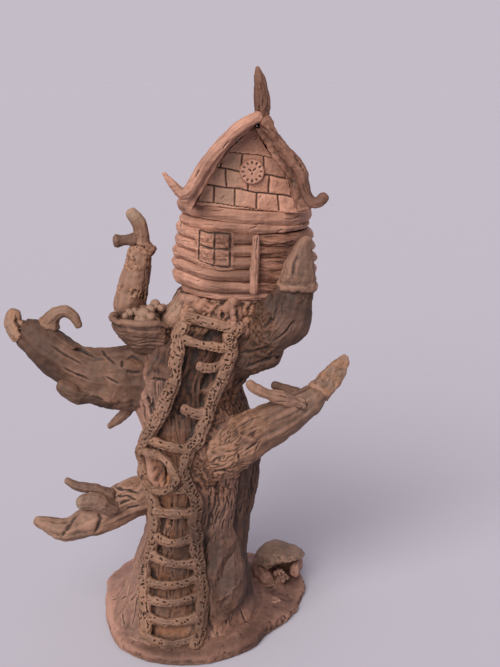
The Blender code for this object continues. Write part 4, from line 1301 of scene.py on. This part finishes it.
def heap(node, count, radius, seed, crowd=0.72):
    """Places for pellets scattered over a CAD node's upper side."""
    random = np.random.default_rng(seed)
    low, high = box_of(node)
    tree = tree_of(node)
    places = []
    for _ in range(2000):
        x, y = random.uniform(low[0], high[0]), random.uniform(low[1], high[1])
        hit = tree.ray_cast(Vector((x, y, high[2] + 5)) * MM, Vector((0, 0, -1)))[0]
        if hit is None:
            continue
        size = radius * random.choice((0.65, 0.8, 1.0, 1.15, 1.6))
        place = np.array([x, y, hit.z / MM - 0.35 * size])
        if all(np.linalg.norm(place - other[:3]) > crowd * (size + other[3]) for other in places):
            places.append((*place, size))
        if len(places) >= count:
            break
    core = 0.5 * (low + high)
    places.append((core[0], core[1], core[2] - 0.15 * (high[2] - low[2]), 0.34 * min(high - low)))
    return places


# Short scores in the slab's rim: x and y of both ends
SLAB_SCORES = (
    ((-59, -50), (-64, -56)), ((-52, -52), (-55, -60)), ((-44, -58), (-48, -67)), ((-38, -60), (-41, -68)),
    ((-29, -62), (-36, -73)), ((-68, -42), (-73, -45)), ((41, -32), (48, -40)), ((19, -58), (21, -68)),
    ((9, -60), (9, -70)), ((30, -48), (35, -57)), ((48, -20), (60, -24)), ((-12, -64), (-14, -72)),
)


def make_slab():
    piece = Sculpt("base_slab", 1.2, smooth=4)
    p = piece.points
    top = ramp(piece.normals()[:, 2], 0.2, 0.7)
    under = ramp(-piece.normals()[:, 2], 0.2, 0.7)
    turn = np.arctan2(p[:, 1], p[:, 0])
    piece.flow = np.column_stack([p[:, 2], np.degrees(turn) * 0.9, np.hypot(p[:, 0], p[:, 1]) / 5])
    piece.along = np.column_stack([np.cos(turn), np.sin(turn), 0 * turn])
    share = piece.swell_near(("trunk", "burrow_mound"), 24.0, 0.0)
    lift = 6.5 * share**1.2 * top
    piece.lift(lift)
    amount = (1 - under) * (1.1 * fractal(p, 18.0, 600, 2) + 0.25 * fractal(p, 5.0, 601, 2))
    edge = (1 - top) * (1 - under)
    amount += edge * (0.6 * fractal(p * (1, 1, 2.5), 9.0, 602, 2) - 0.4)
    piece.push(amount)
    piece.points[:, 2] = np.maximum(piece.z, 0.0)
    piece.mark("rough", 0.3 * edge)
    for (x0, y0), (x1, y1) in SLAB_SCORES:
        middle = (0.5 * (x0 + x1) + 0.4, 0.5 * (y0 + y1), 8.5)
        piece.groove([(x0, y0, 9), middle, (x1, y1, 8)], 0.9, 1.8, 1.0)
    piece.cut_grooves()
    scored(piece, 18, 16, 1.2, 1.5, 0.8, 0.0, ramp(p[:, 1], -15, 20) * top)
    rear = np.hypot(p[:, 0], p[:, 1]) * (p[:, 0] < 0) * (p[:, 1] > -30)
    corner = np.exp(-((np.linalg.norm(p - p[rear.argmax()], axis=1) / 16) ** 2))
    piece.points[:, :2] *= 1 - 0.09 * corner[:, None]
    low, high = box_of("base_slab")
    reach = np.hypot(*(((p - 0.5 * (low + high)) / (0.5 * (high - low)))[:, :2].T))
    piece.points[:, 2] *= 1 - 0.45 * ramp(reach, 0.72, 1.0)
    right = ramp(p[:, 0], 45, 60) * (1 - ramp(piece.normals()[:, 2], 0.6, 0.95)) * (1 - under)
    piece.points += piece.normals() * (1.5 * right * fractal(p, 5.0, 603))[:, None]
    piece.mark("rough", 0.7 * right)
    scored(piece, 26, 9, 0.7, 0.9, 0.6, 0.2, ramp(-p[:, 1], 20, 40) * top)
    # Painted shade darkens the front rim; the slab is also darker towards its right and lighter towards its
    # left
    tone = 0.3 * piece.noise(30, 604) + 0.6 * ramp(-p[:, 0], 35, 65) - 0.85 * ramp(-p[:, 1], 10, 50)
    tone -= 0.5 * ramp(p[:, 0], 25, 50)
    piece.tint(tone)
    piece.points[:, 2] = np.maximum(piece.z, 0.0)
    piece.build()


def shape_hood(piece):
    """The slab over the burrow: thin and blunt at its right, hanging down over the mound at its left."""
    low, high = box_of(piece.node)
    across = (piece.x - low[0]) / (high[0] - low[0])
    rise = (piece.z - low[2]) / (high[2] - low[2])
    piece.lift(-5.5 * ramp(across, 0.35, 0.7) * ramp(rise, 0.2, 0.8))
    front = ramp(piece.y, high[1], low[1])
    piece.lift(3.0 * ramp(across, 0.3, 0.5) * (1 - rise) * front)
    piece.lift(-7.0 * ramp(across, 0.5, 0.1) * (1 - rise))
    piece.lift(-2.0 * ramp(across, 0.8, 1.0))
    rim = ramp(piece.y, 38, 30)
    piece.push(0.8 * rim * piece.fractal(5.0, 630))
    scored(piece, 8, 12, 0.7, 0.9, 0.45)


def shape_mound(piece):
    """The mound: a mouth opened under the slab's edge, with painted shade in it."""
    low, high = box_of("burrow_hood")
    mouth = (0.45 * low[0] + 0.55 * high[0], low[1], low[2] - 0.5)
    wide = ((piece.points - mouth) / (13.0, 10.0, 8.0)) ** 2
    open_here = np.exp(-(wide.sum(axis=1) ** 2))
    piece.points[:, 1] += 4.0 * open_here
    piece.mark("crack_shade", ramp(open_here, 0.25, 0.7))
    end = box_of("burrow_mound")[1][0]
    piece.points[:, 0] -= 3.5 * ramp(piece.x, end - 12, end)
    shoulder = ((piece.points - (low[0] - 1, 0.5 * (low[1] + high[1]), low[2] + 2)) / (9.0, 16.0, 14.0)) ** 2
    piece.lift(6.0 * np.exp(-shoulder.sum(axis=1)))
    scored(piece, 14, 9, 0.6, 1.0, 0.5)


def make_snail():
    """A small curl of clay on the slab."""
    piece = Sculpt("snail_curl", 0.4)
    piece.follow(spine_of(piece.points))
    worn(piece, 12.0, 0.15, 642, 0.1, 6.0)
    piece.tint(0.8)
    piece.build()


def make_foot():
    make_slab()
    for seed, node in enumerate(("root_toe", "burrow_mound", "burrow_hood"), 620):
        piece = Sculpt(node, 0.7)
        piece.follow(spine_of(piece.points), 5.0)
        worn(piece, 12.0, 0.8, seed, 0.2, 6.0)
        piece.swell_near(("trunk", "base_slab"), 9.0, 2.4)
        if node == "root_toe":
            piece.push(-0.8 - 1.2 * ramp(piece.z, 35, 60))
            ridge = piece.lump(((10, 43), (17, 47), (24, 52), (34, 59)), 1.1, 1.2)
            chances = np.flatnonzero(ridge > 0.6)
            pricked(piece, chances, 10, 3.0, 0.6, 1.0, np.random.default_rng(5))
            scored(piece, 7, 16, 0.7, 0.8, 0.4)
        if node == "burrow_hood":
            shape_hood(piece)
        if node == "burrow_mound":
            shape_mound(piece)
        piece.mark("dust_and_light", 0.6 if node == "burrow_hood" else 0.0)
        # The root toe's dark tone is painted shade
        tone = {"root_toe": -0.85, "burrow_hood": -0.35}.get(node, -0.15)
        piece.tint(0.3 * piece.noise(18, seed + 9) + tone)
        piece.build()
    pellets = heap("burrow_pellets", 30, 1.6, 640, 0.65)
    make_lumps("burrow_pellets", [(x + 2.5, y, z, radius) for x, y, z, radius in pellets])
    make_lumps("nest_eggs", heap("nest_eggs", 30, 2.8, 641, 0.6))
    make_snail()


# ---------------------------------------------------------------- stage


FLOOR_COLOUR, FLOOR_RADIUS, FLOOR_GAP = (0.408, 0.395, 0.436, 1), 80.0, 0.0004
SKY_COLOUR, SKY_STRENGTH = (0.92, 0.84, 0.95, 1), 0.6
KEY_COLOUR, KEY_STRENGTH = (1.0, 0.955, 0.92), 4.0
# Degrees: where the key light comes from, round the model and above the floor, and how wide it looks
KEY_TURN, KEY_LIFT, KEY_WIDTH = -115, 36, 45
CAMERA_PLACE, CAMERA_TILT, CAMERA_LENS = (0.040, -0.72, 0.44), 75, 51.44


def make_floor():
    bm = bmesh.new()
    bmesh.ops.create_circle(bm, cap_ends=True, segments=96, radius=FLOOR_RADIUS)
    mesh = bpy.data.meshes.new("floor")
    bm.to_mesh(mesh)
    bm.free()
    floor = bpy.data.objects.new("floor", mesh)
    floor.location.z = -FLOOR_GAP
    material = bpy.data.materials.new("floor_paper")
    material.use_nodes = True
    shader = material.node_tree.nodes["Principled BSDF"]
    shader.inputs["Base Color"].default_value = FLOOR_COLOUR
    shader.inputs["Roughness"].default_value = 0.9
    mesh.materials.append(material)
    bpy.context.scene.collection.objects.link(floor)


def make_lights():
    """A pale sky all round, and one soft key light from the front left."""
    world = bpy.data.worlds.new("studio")
    world.use_nodes = True
    background = world.node_tree.nodes["Background"]
    background.inputs["Color"].default_value = SKY_COLOUR
    background.inputs["Strength"].default_value = SKY_STRENGTH
    bpy.context.scene.world = world
    bpy.context.scene.view_settings.view_transform = "Standard"

    light = bpy.data.lights.new("key", "SUN")
    light.energy = KEY_STRENGTH
    light.angle = math.radians(KEY_WIDTH)
    light.color = KEY_COLOUR
    lamp = bpy.data.objects.new("key", light)
    turn, lift = math.radians(KEY_TURN), math.radians(KEY_LIFT)
    away = Vector((math.cos(turn) * math.cos(lift), math.sin(turn) * math.cos(lift), math.sin(lift)))
    lamp.rotation_euler = away.to_track_quat("Z", "Y").to_euler()
    bpy.context.scene.collection.objects.link(lamp)


def make_camera():
    camera = bpy.data.objects.new("camera", bpy.data.cameras.new("camera"))
    camera.data.lens = CAMERA_LENS
    camera.location = CAMERA_PLACE
    camera.rotation_euler = (math.radians(CAMERA_TILT), 0, 0)
    bpy.context.scene.collection.objects.link(camera)
    bpy.context.scene.camera = camera


make_floor()
make_lights()
make_camera()
make_trunk()
make_foot()
make_ladder()
make_house()
make_branches()
